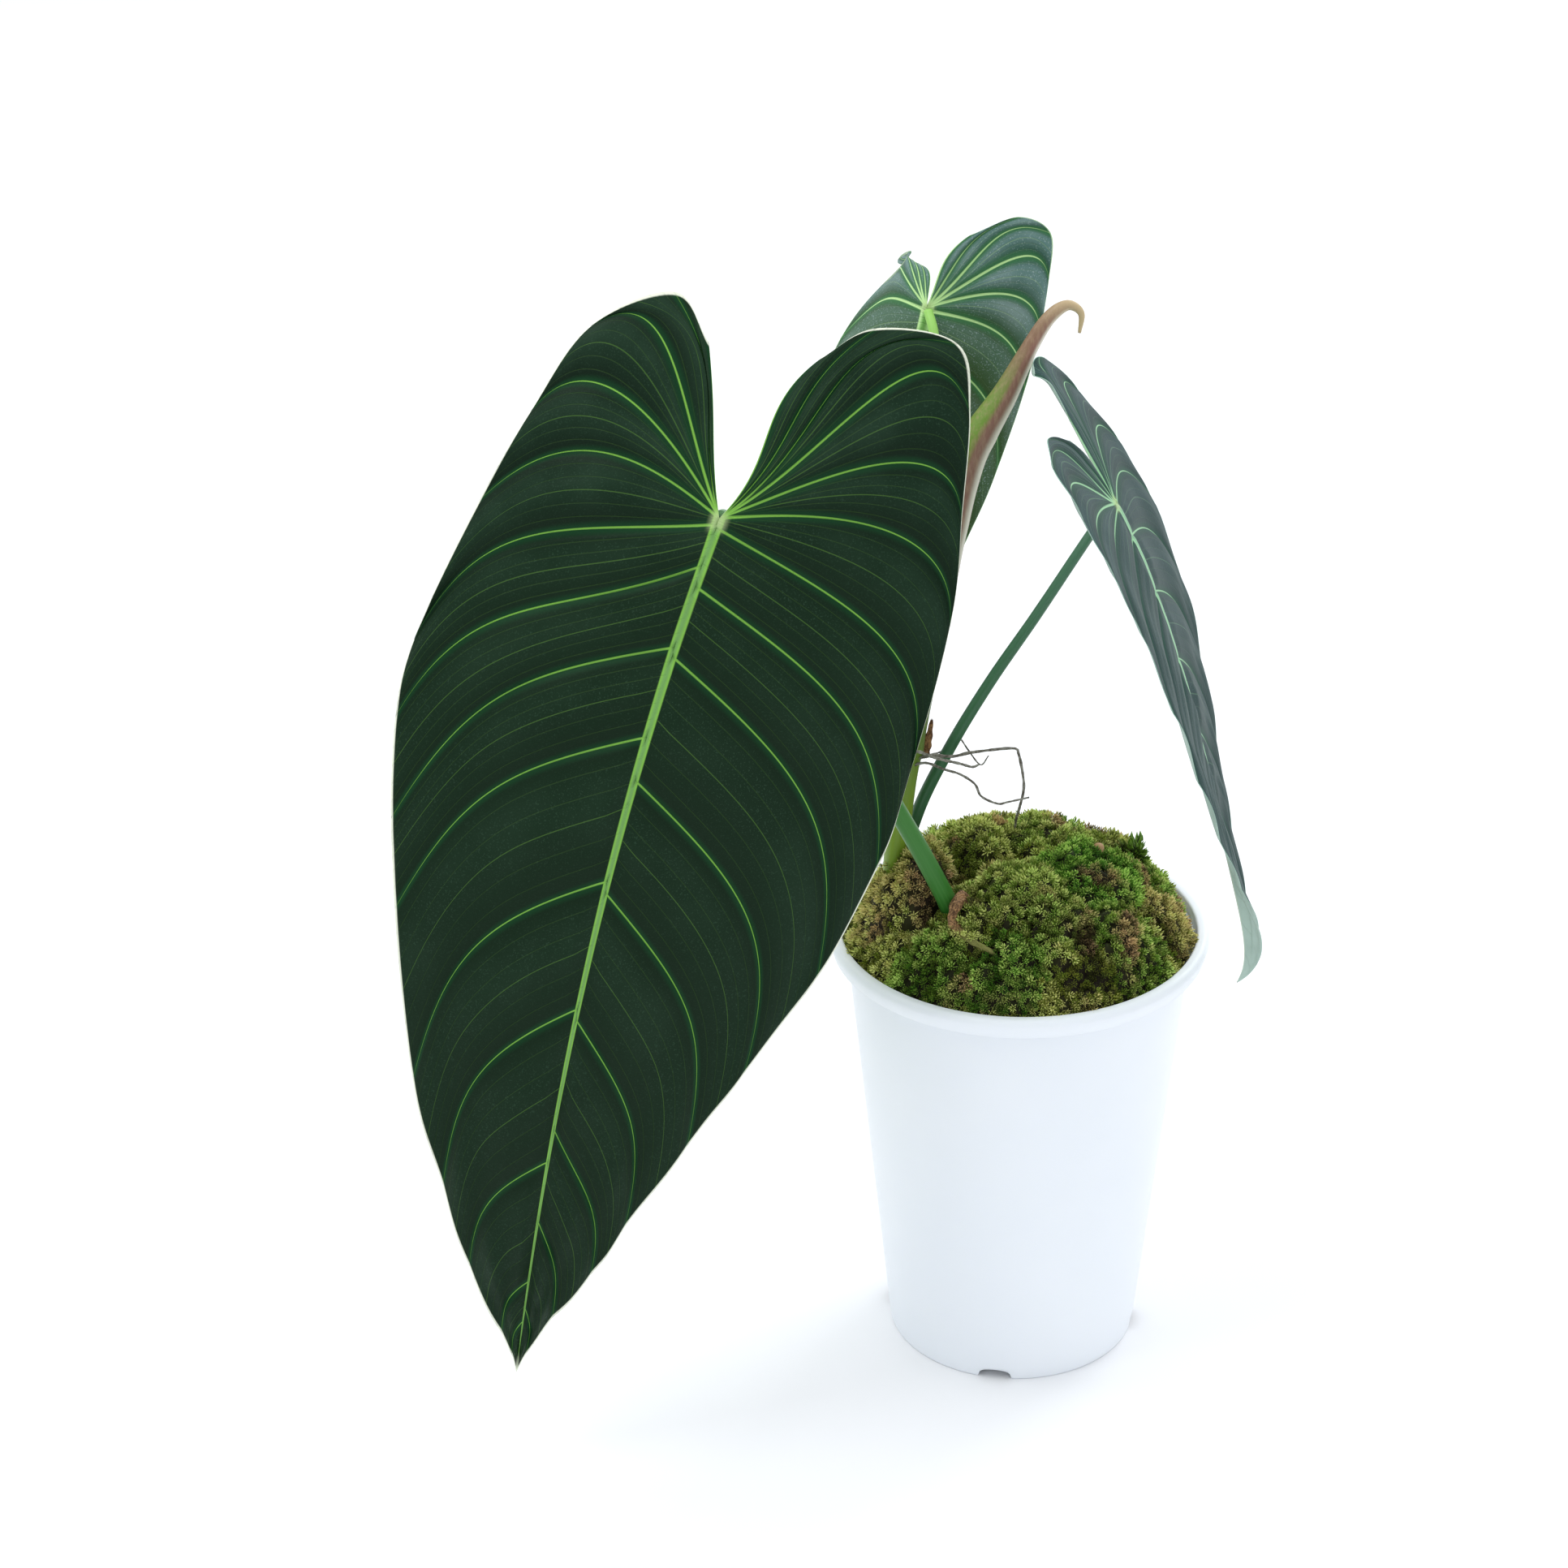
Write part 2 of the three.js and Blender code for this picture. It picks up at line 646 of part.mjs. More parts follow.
// The highest of the round cushions over a place, and small lumps all over.
function cushionHeight(x, y) {
  const domes = CUSHIONS.map(([cx, cy, reach, rise]) => {
    const away = Math.hypot(x - cx, y - cy) / reach;
    return rise * Math.sqrt(Math.max(0, 1 - away ** 2));
  });
  const wave = (2 * Math.PI) / MOSS.lumpLength;
  const alongX = Math.sin(wave * x + 1.3 * Math.sin(0.21 * y));
  const alongY = Math.sin(wave * y + 1.1 * Math.sin(0.17 * x));
  return Math.max(...domes) + MOSS.lumpRise * alongX * alongY;
}

function discSheet(rings, sectors, upperPoint, lowerPoint) {
  const upper = [upperPoint(0, 0)];
  const lower = [lowerPoint(0, 0)];
  const triangles = [];
  const id = (i, j) => (i === 0 ? 0 : 1 + (i - 1) * sectors + (j % sectors));
  for (let i = 1; i <= rings; i++) {
    for (let j = 0; j < sectors; j++) {
      const angle = (2 * Math.PI * j) / sectors;
      upper.push(upperPoint(i / rings, angle));
      lower.push(lowerPoint(i / rings, angle));
      triangles.push([id(i - 1, j), id(i, j), id(i, j + 1)]);
      if (i > 1) triangles.push([id(i - 1, j), id(i, j + 1), id(i - 1, j + 1)]);
    }
  }
  return thickSheet(upper, lower, triangles);
}

function polar(reach, angle, z) {
  return new THREE.Vector3(reach * Math.cos(angle), reach * Math.sin(angle), z);
}

function mixGeometry() {
  const upperPoint = (share, angle) => {
    const reach = share * FILL.wallRadius;
    return polar(reach, angle, moundHeight(reach));
  };
  const lowerPoint = (share, angle) => polar(share * FILL.floorRadius, angle, FILL.floor);
  return discSheet(6, 36, upperPoint, lowerPoint);
}

function mossGeometry() {
  const upperPoint = (share, angle) => {
    const reach = share * MOSS.radius;
    const [x, y] = [reach * Math.cos(angle), reach * Math.sin(angle)];
    const edge = 1 - share ** 6 * 0.5;
    return polar(reach, angle, moundHeight(reach) + MOSS.cover + edge * cushionHeight(x, y));
  };
  const lowerPoint = (share, angle) => {
    const reach = share * FILL.wallRadius;
    return polar(reach, angle, moundHeight(reach) + MOSS.under);
  };
  return discSheet(MOSS.rings, MOSS.sectors, upperPoint, lowerPoint);
}

// The new leaf, still rolled: a tapering spiral section with one free edge standing out
function newLeafSection(turn, along) {
  const place = along * (NEW_LEAF.radius.length - 1);
  const k = Math.min(Math.floor(place), NEW_LEAF.radius.length - 2);
  const radius = THREE.MathUtils.lerp(NEW_LEAF.radius[k], NEW_LEAF.radius[k + 1], place - k);
  return radius * (1 + NEW_LEAF.overlap * (1 - turn));
}

function sheathGeometry() {
  const curve = new THREE.CatmullRomCurve3(SHEATH.path.map(vector), false, "catmullrom", 0.5);
  const { steps, columns } = SHEATH;
  const upper = [];
  const lower = [];
  const triangles = [];
  for (let i = 0; i <= steps; i++) {
    const centre = curve.getPoint(i / steps);
    const width = SHEATH.width * (1 - SHEATH.taper * (i / steps) ** 2);
    for (let j = 0; j <= columns; j++) {
      const across = (j / columns - 0.5) * width;
      const bow = SHEATH.bow * across ** 2;
      upper.push(centre.clone().add(new THREE.Vector3(SHEATH.thickness - bow, across, 0)));
      lower.push(centre.clone().add(new THREE.Vector3(-bow, across, 0)));
      if (i < steps && j < columns) {
        const a = i * (columns + 1) + j;
        const b = a + columns + 1;
        triangles.push([a, a + 1, b], [a + 1, b + 1, b]);
      }
    }
  }
  return thickSheet(upper, lower, triangles);
}

// Assembly
const plant = new THREE.Group();

function addPiece(name, geometry, color, roughness) {
  const material = new THREE.MeshStandardMaterial({ color, roughness, metalness: 0 });
  const mesh = new THREE.Mesh(geometry, material);
  geometry.computeVertexNormals();
  mesh.name = name;
  plant.add(mesh);
}

function stalkTube(stalk, extra, sides = 8) {
  return sweep(stalk.path, sides, 14, taper(stalk.radius, extra));
}
const rootTube = (root, extra) => sweep(root.path, 5, 14, steady(root.radius, extra));
const dryRootTube = (extra) => sweep(DRY_ROOT.path, 6, 12, taper(DRY_ROOT.radius, extra));
function pelletBall(extra) {
  return new THREE.SphereGeometry(PELLET.radius + extra, 10, 6).translate(...PELLET.centre);
}

let stem = toManifold(stalkTube(STEM, 0, 12));
for (const root of ROOTS) stem = stem.add(toManifold(rootTube(root, 0)));

const holes = [
  stalkTube(STEM, GAP, 12),
  stalkTube(FRONT_STALK, GAP),
  stalkTube(RIGHT_STALK, GAP),
  dryRootTube(GAP),
  pelletBall(GAP),
  ...ROOTS.map((root) => rootTube(root, GAP)),
].map(toManifold);
function withHoles(geometry) {
  return holes.reduce((solid, hole) => solid.subtract(hole), toManifold(geometry));
}

addPiece("pot", toGeometry(potGeometry()), COLOURS.pot, 0.45);
addPiece("potting_mix", toGeometry(withHoles(mixGeometry())), COLOURS.mix, 1);
addPiece("moss", toGeometry(withHoles(mossGeometry())), COLOURS.moss, 1);
addPiece("stem", toGeometry(stem), COLOURS.stem, 0.6);
addPiece("front_stalk", stalkTube(FRONT_STALK, 0), COLOURS.stalk, 0.5);
addPiece("right_stalk", stalkTube(RIGHT_STALK, 0), COLOURS.stalk, 0.5);
addPiece("back_stalk", stalkTube(BACK_STALK, 0), COLOURS.stalk, 0.5);
addPiece("front_leaf", bladeGeometry(FRONT_LEAF), COLOURS.blade, 0.7);
addPiece("right_leaf", bladeGeometry(RIGHT_LEAF), COLOURS.youngBlade, 0.7);
addPiece("back_leaf", bladeGeometry(BACK_LEAF), COLOURS.youngBlade, 0.7);
addPiece("new_leaf", sweep(NEW_LEAF.path, 14, 22, newLeafSection), COLOURS.newLeaf, 0.6);
addPiece("dry_sheath", sheathGeometry(), COLOURS.dry, 0.9);
addPiece("dry_root", dryRootTube(0), COLOURS.dry, 0.9);
addPiece("pellet", pelletBall(0), COLOURS.pellet, 0.9);

export default plant;
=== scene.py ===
# %% [markdown]
# # A potted climbing philodendron
#
# The object is a young climbing plant in a white nursery pot: one large hanging leaf, two smaller
# ones, a new leaf that is still rolled up, and a mound of moss over the potting mix.
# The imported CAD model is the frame. It says where everything is, and this script gives each piece
# the surface that the real one has. All shapes below are worked out in millimetres with numpy, in
# the same axes as the CAD: X to the right, Y to the back, Z up, origin under the middle of the pot.

from functools import partial

import bpy
import mathutils
import numpy as np
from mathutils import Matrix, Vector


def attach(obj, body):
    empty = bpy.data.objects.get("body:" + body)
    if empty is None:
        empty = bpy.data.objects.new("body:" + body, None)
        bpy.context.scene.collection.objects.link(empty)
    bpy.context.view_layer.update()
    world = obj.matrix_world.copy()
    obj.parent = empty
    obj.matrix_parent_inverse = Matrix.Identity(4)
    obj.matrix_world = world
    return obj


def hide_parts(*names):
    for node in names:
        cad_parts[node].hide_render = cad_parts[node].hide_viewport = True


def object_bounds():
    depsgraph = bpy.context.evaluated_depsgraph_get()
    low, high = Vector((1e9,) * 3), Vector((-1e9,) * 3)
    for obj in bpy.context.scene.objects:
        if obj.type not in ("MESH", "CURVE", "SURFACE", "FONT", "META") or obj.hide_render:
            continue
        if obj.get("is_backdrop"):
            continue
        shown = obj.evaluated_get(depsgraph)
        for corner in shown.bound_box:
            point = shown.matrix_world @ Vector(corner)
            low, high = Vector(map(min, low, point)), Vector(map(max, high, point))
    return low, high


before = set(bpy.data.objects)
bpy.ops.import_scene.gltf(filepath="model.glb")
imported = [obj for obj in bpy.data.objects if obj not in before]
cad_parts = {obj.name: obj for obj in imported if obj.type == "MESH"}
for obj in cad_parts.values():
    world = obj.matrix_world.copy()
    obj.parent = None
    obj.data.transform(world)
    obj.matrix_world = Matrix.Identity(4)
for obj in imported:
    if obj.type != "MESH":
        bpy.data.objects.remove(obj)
cad_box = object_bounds()
print("CAD nodes:", sorted(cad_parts))

# %% [markdown]
# ## Small helpers
#
# Colours are written as the hex values that a picture editor shows. Blender's shaders want linear
# light, so one function converts them. A second one adds a shader node, sets it up and links it in
# one line, which keeps a material readable from top to bottom: first the values kept in the mesh
# and the noise, then the colours that they blend, and last the shader.


# %% Colours and shader nodes
def linear(hex_colour):
    """sRGB hex to linear RGBA: each channel c becomes ((c + 0.055) / 1.055) to the power 2.4."""
    channels = np.array([int(hex_colour[i : i + 2], 16) for i in (1, 3, 5)]) / 255
    low = channels / 12.92
    high = ((channels + 0.055) / 1.055) ** 2.4
    return (*np.where(channels <= 0.04045, low, high), 1.0)


# Unless a call says otherwise, Mix blends colours, Map Range is a smooth step and Math multiplies
USUAL = {
    "Mix": {"data_type": "RGBA"},
    "MapRange": {"interpolation_type": "SMOOTHSTEP"},
    "Math": {"operation": "MULTIPLY"},
}


def add_node(tree, kind, *values, out=None, **settings):
    """Adds one node and returns its output, the one named out or else the first. values fill the
    sockets in their order, or are one dict by name: a socket to link, a number or a hex colour."""
    node = tree.nodes.new("ShaderNode" + kind)
    for name, value in {**USUAL.get(kind, {}), **settings}.items():
        setattr(node, name, value)
    if values and isinstance(values[0], dict):
        pairs = [(node.inputs[name], value) for name, value in values[0].items()]
    else:
        pairs = zip([socket for socket in node.inputs if socket.enabled], values)
    for socket, value in pairs:
        if isinstance(value, bpy.types.NodeSocket):
            tree.links.new(value, socket)
        else:
            socket.default_value = linear(value) if isinstance(value, str) else value
    return node.outputs[out] if out else next((s for s in node.outputs if s.enabled), None)


def new_material(name):
    """An empty material, and the function that adds nodes to it."""
    material = bpy.data.materials.new(name)
    material.use_nodes = True
    material.node_tree.nodes.clear()
    return material, partial(add_node, material.node_tree)


# %% [markdown]
# Every new piece is a numpy surface. A grid of points becomes faces, doubled points at a pole or a
# seam are welded, and two matching sheets are closed along their free edge into a thin solid.


# %% Surfaces from arrays
def grid_faces(rows, columns, around=False):
    """Triangles of a grid of rows x columns points. around joins the last column to the first."""
    i = np.arange(rows - 1)[:, None]
    j = np.arange(columns if around else columns - 1)[None, :]
    a = i * columns + j
    b = i * columns + (j + 1) % columns
    c, d = a + columns, b + columns
    triangles = np.stack([np.stack([a, b, d], -1), np.stack([a, d, c], -1)], 2)
    return triangles.reshape(-1, 3)


def weld(points, faces):
    """Merges points closer than a micrometre. Returns the kept points' numbers and the faces."""
    keys = np.round(points * 1000).astype(np.int64)
    _, kept, same = np.unique(keys, axis=0, return_index=True, return_inverse=True)
    faces = same.reshape(-1)[faces]
    a, b, c = faces.T
    return kept, faces[(a != b) & (b != c) & (c != a)]


def thick_sheet(upper, lower, faces):
    """Closes the gap between two matching sheets: each edge used by one face gets a wall."""
    count = len(upper)
    edges = np.concatenate([faces[:, [0, 1]], faces[:, [1, 2]], faces[:, [2, 0]]])
    keys = np.sort(edges, axis=1)
    _, place, used = np.unique(keys, axis=0, return_index=True, return_counts=True)
    a, b = edges[place[used == 1]].T
    walls = np.concatenate([np.stack([b, a, a + count], 1), np.stack([b, a + count, b + count], 1)])
    under = faces[:, ::-1] + count
    return np.concatenate([upper, lower]), np.concatenate([faces, under, walls])


def outward(points, faces):
    """Turns all faces of a closed piece if the volume under them, summed over the triangles as a
    dot (b cross c) / 6 about a point inside, is negative."""
    a, b, c = (points[faces[:, i]] - points.mean(0) for i in range(3))
    volume = np.einsum("ij,ij->", a, np.cross(b, c)) / 6
    return faces if volume > 0 else faces[:, ::-1]


def make_piece(name, points, faces, material, node=None, values=None, smooth=True):
    """Puts points (mm) and triangles into a mesh. values are numbers a point, for the shaders."""
    faces = outward(points, faces)
    mesh = bpy.data.meshes.new(name)
    mesh.vertices.add(len(points))
    mesh.vertices.foreach_set("co", (np.asarray(points) / 1000).astype(np.float32).ravel())
    mesh.loops.add(faces.size)
    mesh.loops.foreach_set("vertex_index", faces.astype(np.int32).ravel())
    mesh.polygons.add(len(faces))
    mesh.polygons.foreach_set("loop_start", np.arange(0, faces.size, 3, dtype=np.int32))
    mesh.update(calc_edges=True)
    mesh.polygons.foreach_set("use_smooth", np.full(len(faces), smooth))
    for key, numbers in (values or {}).items():
        layer = mesh.attributes.new(key, "FLOAT", "POINT")
        layer.data.foreach_set("value", np.asarray(numbers, np.float32).ravel())
    mesh.materials.append(material)
    piece = bpy.data.objects.new(name, mesh)
    bpy.context.scene.collection.objects.link(piece)
    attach(piece, "root")
    if node:
        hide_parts(node)
    low, high = np.min(points, 0), np.max(points, 0)
    print(f"{name}: {len(faces)} triangles, {np.round(high - low, 1)} mm")
    return piece


# %% [markdown]
# Curves run smoothly through a few known points. The same Catmull-Rom rule serves for the paths of
# stalks and roots and for the tables that describe a leaf.


# %% Smooth rows and swept tubes
def unit(vectors):
    """Vectors divided by their own length."""
    return vectors / np.linalg.norm(vectors, axis=-1, keepdims=True)


def smooth_rows(rows, v):
    """Catmull-Rom through rows at the row number v: each stretch is the cubic whose slope at a
    row is half the difference of that row's two neighbours. The ends are extended in a line."""
    rows = np.asarray(rows, float)
    last = len(rows) - 1
    extended = np.vstack([2 * rows[0] - rows[1], rows, 2 * rows[-1] - rows[-2]])
    k = np.clip(np.floor(v).astype(int), 0, last - 1)
    f = (v - k)[..., None]
    p0, p1, p2, p3 = (extended[k + i] for i in range(4))
    bend = 2 * p0 - 5 * p1 + 4 * p2 - p3 + f * (3 * (p1 - p2) + p3 - p0)
    return p1 + 0.5 * f * (p2 - p0 + f * bend)


def even_path(path, steps):
    """Points at even distances along the smooth path, with its direction and two side axes."""
    fine = smooth_rows(path, np.linspace(0, len(path) - 1, 60 * len(path)))
    run = np.concatenate([[0], np.cumsum(np.linalg.norm(np.diff(fine, axis=0), axis=1))])
    places = np.linspace(0, run[-1], steps + 1)
    centre = np.stack([np.interp(places, run, fine[:, i]) for i in range(3)], 1)
    along = unit(np.gradient(centre, axis=0))
    right = unit(np.cross(along, [0.13, -1.0, 0.31]))
    return centre, along, right, np.cross(right, along)


def tube(path, radii, sides=20, steps=120, section=None):
    """A closed tube: around each point of the path stands a ring, at the radius times
    section(turn, t) from the path, and a point closes each end. t and turn run from 0 to 1, and
    the radius runs through radii at even distances."""
    centre, along, right, front = even_path(path, steps)
    t = np.linspace(0, 1, steps + 1)[:, None]
    turn = (np.arange(sides) / sides)[None, :]
    radius = np.interp(t, np.linspace(0, 1, len(radii)), radii)
    reach = radius * (section(turn, t) if section else 1) + 0 * turn
    ring = np.cos(2 * np.pi * turn)[..., None] * right[:, None]
    ring = ring + np.sin(2 * np.pi * turn)[..., None] * front[:, None]
    points = (centre[:, None] + reach[..., None] * ring).reshape(-1, 3)
    faces = grid_faces(steps + 1, sides, around=True)
    first = np.arange(sides)
    after = (first + 1) % sides
    end = steps * sides
    low = np.stack([np.full(sides, len(points)), after, first], 1)
    high = np.stack([np.full(sides, len(points) + 1), first + end, after + end], 1)
    points = np.vstack([points, centre[0], centre[-1]])
    shares = np.concatenate([np.broadcast_to(t, reach.shape).ravel(), [0, 1]])
    turns = np.concatenate([np.broadcast_to(turn, reach.shape).ravel(), [0, 0]])
    return points, np.concatenate([faces, low, high]), {"along": shares, "turn": turns}


# %% [markdown]
# Several sums below need soft, patchy randomness: where the moss swells, where it is drier. A
# lattice of fixed random numbers, read between its knots with a smooth step, gives that and is the
# same on every run.


# %% Patchy values
def patches(x, y, size, seed):
    """Value noise from 0 to 1 on a lattice of the given size in mm, smoothed between knots."""
    lattice = np.random.default_rng(seed).random((97, 97))
    gx, gy = x / size + 48, y / size + 48
    i, j = np.floor(gx).astype(int), np.floor(gy).astype(int)
    fx, fy = gx - i, gy - j
    fx, fy = fx * fx * (3 - 2 * fx), fy * fy * (3 - 2 * fy)
    i, j = i % 96, j % 96
    low = lattice[i, j] * (1 - fx) + lattice[i + 1, j] * fx
    high = lattice[i, j + 1] * (1 - fx) + lattice[i + 1, j + 1] * fx
    return low * (1 - fy) + high * fy


# %% [markdown]
# ## Camera, light and floor
#
# The photograph is a catalogue picture: a long lens looks down on the plant at 28 degrees, in a
# bright white room where shadows nearly vanish. The camera was worked out from the pot, whose rim
# and foot are circles of a known size. A bright world does most of the lighting, a little brighter
# from above than from below. One soft lamp from the upper left front gives the leaves their gentle
# sheen, and a weaker one from behind on the right lightens their edges.

# %% Camera
PIXELS = 1932
FOCAL_PIXELS = 5001.0
PITCH = np.radians(27.88)
ROLL = np.radians(-0.64)
CAMERA_PLACE = np.array([-82.6, -1247.2, 881.9])

forward = np.array([0, np.cos(PITCH), -np.sin(PITCH)])
level_right = np.array([1.0, 0, 0])
level_up = np.cross(level_right, forward)
right_axis = level_right * np.cos(ROLL) + level_up * np.sin(ROLL)
up_axis = level_up * np.cos(ROLL) - level_right * np.sin(ROLL)


def stand(thing, right, up, back, place):
    """Turns an object so that its own axes are right, up and back, and puts it at place (m)."""
    columns = np.eye(4)
    columns[:3] = np.stack([right, up, back, place], 1)
    thing.matrix_world = mathutils.Matrix(columns.tolist())


lens = bpy.data.cameras.new("photo_camera")
lens.sensor_width = 36
lens.lens = FOCAL_PIXELS / PIXELS * lens.sensor_width
lens.clip_end = 20
camera = bpy.data.objects.new("photo_camera", lens)
bpy.context.scene.collection.objects.link(camera)
stand(camera, right_axis, up_axis, -forward, CAMERA_PLACE / 1000)
bpy.context.scene.camera = camera
print("camera at", CAMERA_PLACE, "mm, lens", round(lens.lens, 1), "mm")

# %% World and lamps
scene = bpy.context.scene
scene.view_settings.view_transform = "Standard"
world = bpy.data.worlds.new("bright_room")
scene.world = world
world.use_nodes = True
world.node_tree.nodes.clear()
add = partial(add_node, world.node_tree)
direction = add("TexCoord", out="Generated")
lean = add("VectorMath", direction, (0.1, 0.14, 0.3), operation="DOT_PRODUCT")
strength = add("Math", lean, 0.78, operation="ADD")
add("OutputWorld", add("Background", (0.95, 0.975, 1.0, 1), strength))


def soft_lamp(name, place, target, size, watts):
    """A square lamp that faces target. place and target are in metres."""
    lamp = bpy.data.lights.new(name, "AREA")
    lamp.size = size
    lamp.energy = watts
    holder = bpy.data.objects.new(name, lamp)
    scene.collection.objects.link(holder)
    back = unit(np.subtract(place, target))
    side = unit(np.cross([0, 0, 1], back))
    stand(holder, side, np.cross(back, side), back, place)


soft_lamp("window_light", (-0.9, -0.2, 1.9), (-0.05, 0, 0.25), 1.0, 12)
soft_lamp("back_light", (0.9, 1.1, 1.2), (0, 0, 0.3), 0.8, 7)

# %% Floor
FLOOR_REACH = 6.0  # m

paper, add = new_material("white_studio_paper")
add("OutputMaterial", add("BsdfPrincipled", {"Base Color": (0.93, 0.935, 0.95, 1), "Roughness": 0.9}))
corners = [(x * FLOOR_REACH, y * FLOOR_REACH, 0) for x, y in ((-1, -1), (1, -1), (1, 1), (-1, 1))]
floor_mesh = bpy.data.meshes.new("studio_floor")
floor_mesh.from_pydata(corners, [], [(0, 1, 2, 3)])
floor_mesh.materials.append(paper)
floor = bpy.data.objects.new("studio_floor", floor_mesh)
scene.collection.objects.link(floor)
floor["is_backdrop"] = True

# %% [markdown]
# ## Pot
#
# A tall nursery pot, moulded in one piece from white polypropylene. The mould gives it a slightly
# tapered wall, a rolled rim with a turned-down skirt, a foot ring with four drain notches and holes
# over a drain channel. A profile turned about the axis is the natural way to make it. The notches
# are worked into the same surface: within a notch, the foot's height follows an arch.

# %% Pot shape
POT_SIDES = 360
WALL_FOOT, WALL_TOP, WALL_HEIGHT = 44.9, 61.4, 161.2  # mm, radius at the foot and at the top
CHANNEL = 4.0  # mm, height of the drain channel's ceiling
FLOOR_TOP = 5.6  # mm
NOTCH_FIRST = np.radians(-100.9)  # from +X
FOOT_RADIUS = 44  # mm, middle of the foot ring
NOTCH_HALF = 6.0  # mm, half the width of a notch


def arc(radius, height, size, start, end, steps):
    """Points on a circle of the given size about (radius, height), from start to end degrees."""
    angle = np.radians(np.linspace(start, end, steps))
    return np.stack([radius + size * np.cos(angle), height + size * np.sin(angle)], 1)


def wall(heights, inset=0.0):
    """The wall's radius grows evenly with the height. inset is the wall's thickness, inside."""
    return np.stack([WALL_FOOT + (WALL_TOP - WALL_FOOT) / WALL_HEIGHT * heights - inset, heights], 1)


def notched(profile, angle):
    """Heights of the turned profile. Near each of four angles the foot is lifted to an arch of
    1 - (distance / half width) squared, to the power 0.35."""
    radius, height = profile[:, :1], profile[:, 1:]
    from_notch = (angle - NOTCH_FIRST + np.pi / 4) % (np.pi / 2) - np.pi / 4
    notch_share = np.clip(1 - (from_notch * FOOT_RADIUS / NOTCH_HALF)[None, :] ** 2, 0, 1)
    arch = (CHANNEL - 0.25) * notch_share**0.35
    in_foot = (radius > 42.65) & (height < CHANNEL)
    lifted = np.maximum(height, arch + height * (1 - arch / CHANNEL))
    return np.where(in_foot, lifted, height + 0 * arch)


under_floor = [(0, 0), (12, 0), (24.2, 0), (24.7, 0.3), (25.9, CHANNEL - 0.3), (26.3, CHANNEL)]
channel = [(30, CHANNEL), (36, CHANNEL), (42.6, CHANNEL), (42.9, CHANNEL - 0.3)]
foot_ring = [(43.2, 0.3), (43.4, 0), (44.3, 0), (44.75, 0.25)]
under_rim = [(61.8, 161.5), (64.6, 161.3), (64.75, 161), (64.7, 158.3), (64.9, 158), (66.1, 158)]
rim = np.vstack([[(66.4, 158.3)], arc(65.0, 162.5, 2.5, 0, 90, 9), arc(63.9, 164.0, 1.0, 90, 180, 6)])
rim_inside = [(62.4, 162.4), (61.4, 160), (60.3, 158.5)]
floor_top = [(43.6, 5.8), (43.2, FLOOR_TOP), (36, FLOOR_TOP), (30, FLOOR_TOP), (24, FLOOR_TOP), (23.4, 5.3)]
dimple = [(22.8, 2.6), (22.3, 2.2), (12, 2.2), (0, 2.2)]
outside = wall(np.linspace(0.9, WALL_HEIGHT, 40))
inside = wall(np.linspace(156, 6.2, 34), 1.6)
foot = np.vstack([under_floor, channel, foot_ring])
profile = np.vstack([foot, outside, under_rim, rim, rim_inside, inside, floor_top, dimple])
angle = NOTCH_FIRST + 2 * np.pi * np.arange(POT_SIDES) / POT_SIDES
turned_x, turned_y = (profile[:, :1] * turn for turn in (np.cos(angle), np.sin(angle)))
pot_points = np.stack([turned_x, turned_y, notched(profile, angle)], -1).reshape(-1, 3)
kept, pot_faces = weld(pot_points, grid_faces(len(profile), POT_SIDES, around=True))
print("pot profile:", len(profile), "points")

# %% [markdown]
# Polypropylene: white pigment with a trace of blue, index 1.49. It is a soft, slightly waxy
# plastic, so it has a broad highlight. The satin mould surface is a very fine grain, and its gloss
# changes slightly from one centimetre to the next, as on any thin moulded wall.

# %% Pot finish
white_pp, add = new_material("white_polypropylene")
place = add("TexCoord", out="Object")
cloudy = add("TexNoise", place, 1000 / 60, 2, 0.55)  # patches of 60 mm, in Object coordinates in metres
satin = add("MapRange", add("TexNoise", place, 1000 / 9, 3, 0.55), 0.3, 0.7, 0.34, 0.42)
grain = add("TexNoise", place, 1000 / 0.6, 2, 0.55)
plastic = {
    "Base Color": add("Mix", cloudy, "#edf3fa", "#f4f8fd"),
    "IOR": 1.49,
    "Subsurface Weight": 0.08,
    "Subsurface Radius": (0.004, 0.004, 0.005),
    "Roughness": satin,
    "Normal": add("Bump", {"Height": grain, "Distance": 0.02 / 1000, "Strength": 0.4}),
}
add("OutputMaterial", add("BsdfPrincipled", plastic))
pot = make_piece("white_pot", pot_points[kept], pot_faces, white_pp, "pot")

# %% [markdown]
# Eight round holes go through the floor, over the channel. They don't fit the turned grid, so they
# are drilled: a mesh of eight upright prisms is taken away from the pot, and the result is kept.

# %% Drain holes
HOLES, HOLE_SIDES = 8, 24
HOLE_RADIUS, HOLE_RING = 4.0, 34.45  # mm
DRILL_LOW, DRILL_HIGH = 2.6, 7.4  # mm, clear of both sides of the floor

bearing = 2 * np.pi * (np.arange(HOLES) + 0.5) / HOLES
around = 2 * np.pi * np.arange(HOLE_SIDES) / HOLE_SIDES
centres = HOLE_RING * np.stack([np.cos(bearing), np.sin(bearing)], 1)
circle = HOLE_RADIUS * np.stack([np.cos(around), np.sin(around)], 1)
rings = (centres[:, None] + circle).reshape(-1, 2)
high, low = (np.c_[rings, np.full(len(rings), level)] for level in (DRILL_HIGH, DRILL_LOW))
corner = np.arange(1, HOLE_SIDES - 1)
fan = np.stack([0 * corner, corner, corner + 1], 1)
discs = (fan + HOLE_SIDES * np.arange(HOLES)[:, None, None]).reshape(-1, 3)
drill_points, drill_faces = thick_sheet(high, low, discs)
drill_mesh = bpy.data.meshes.new("drain_drill")
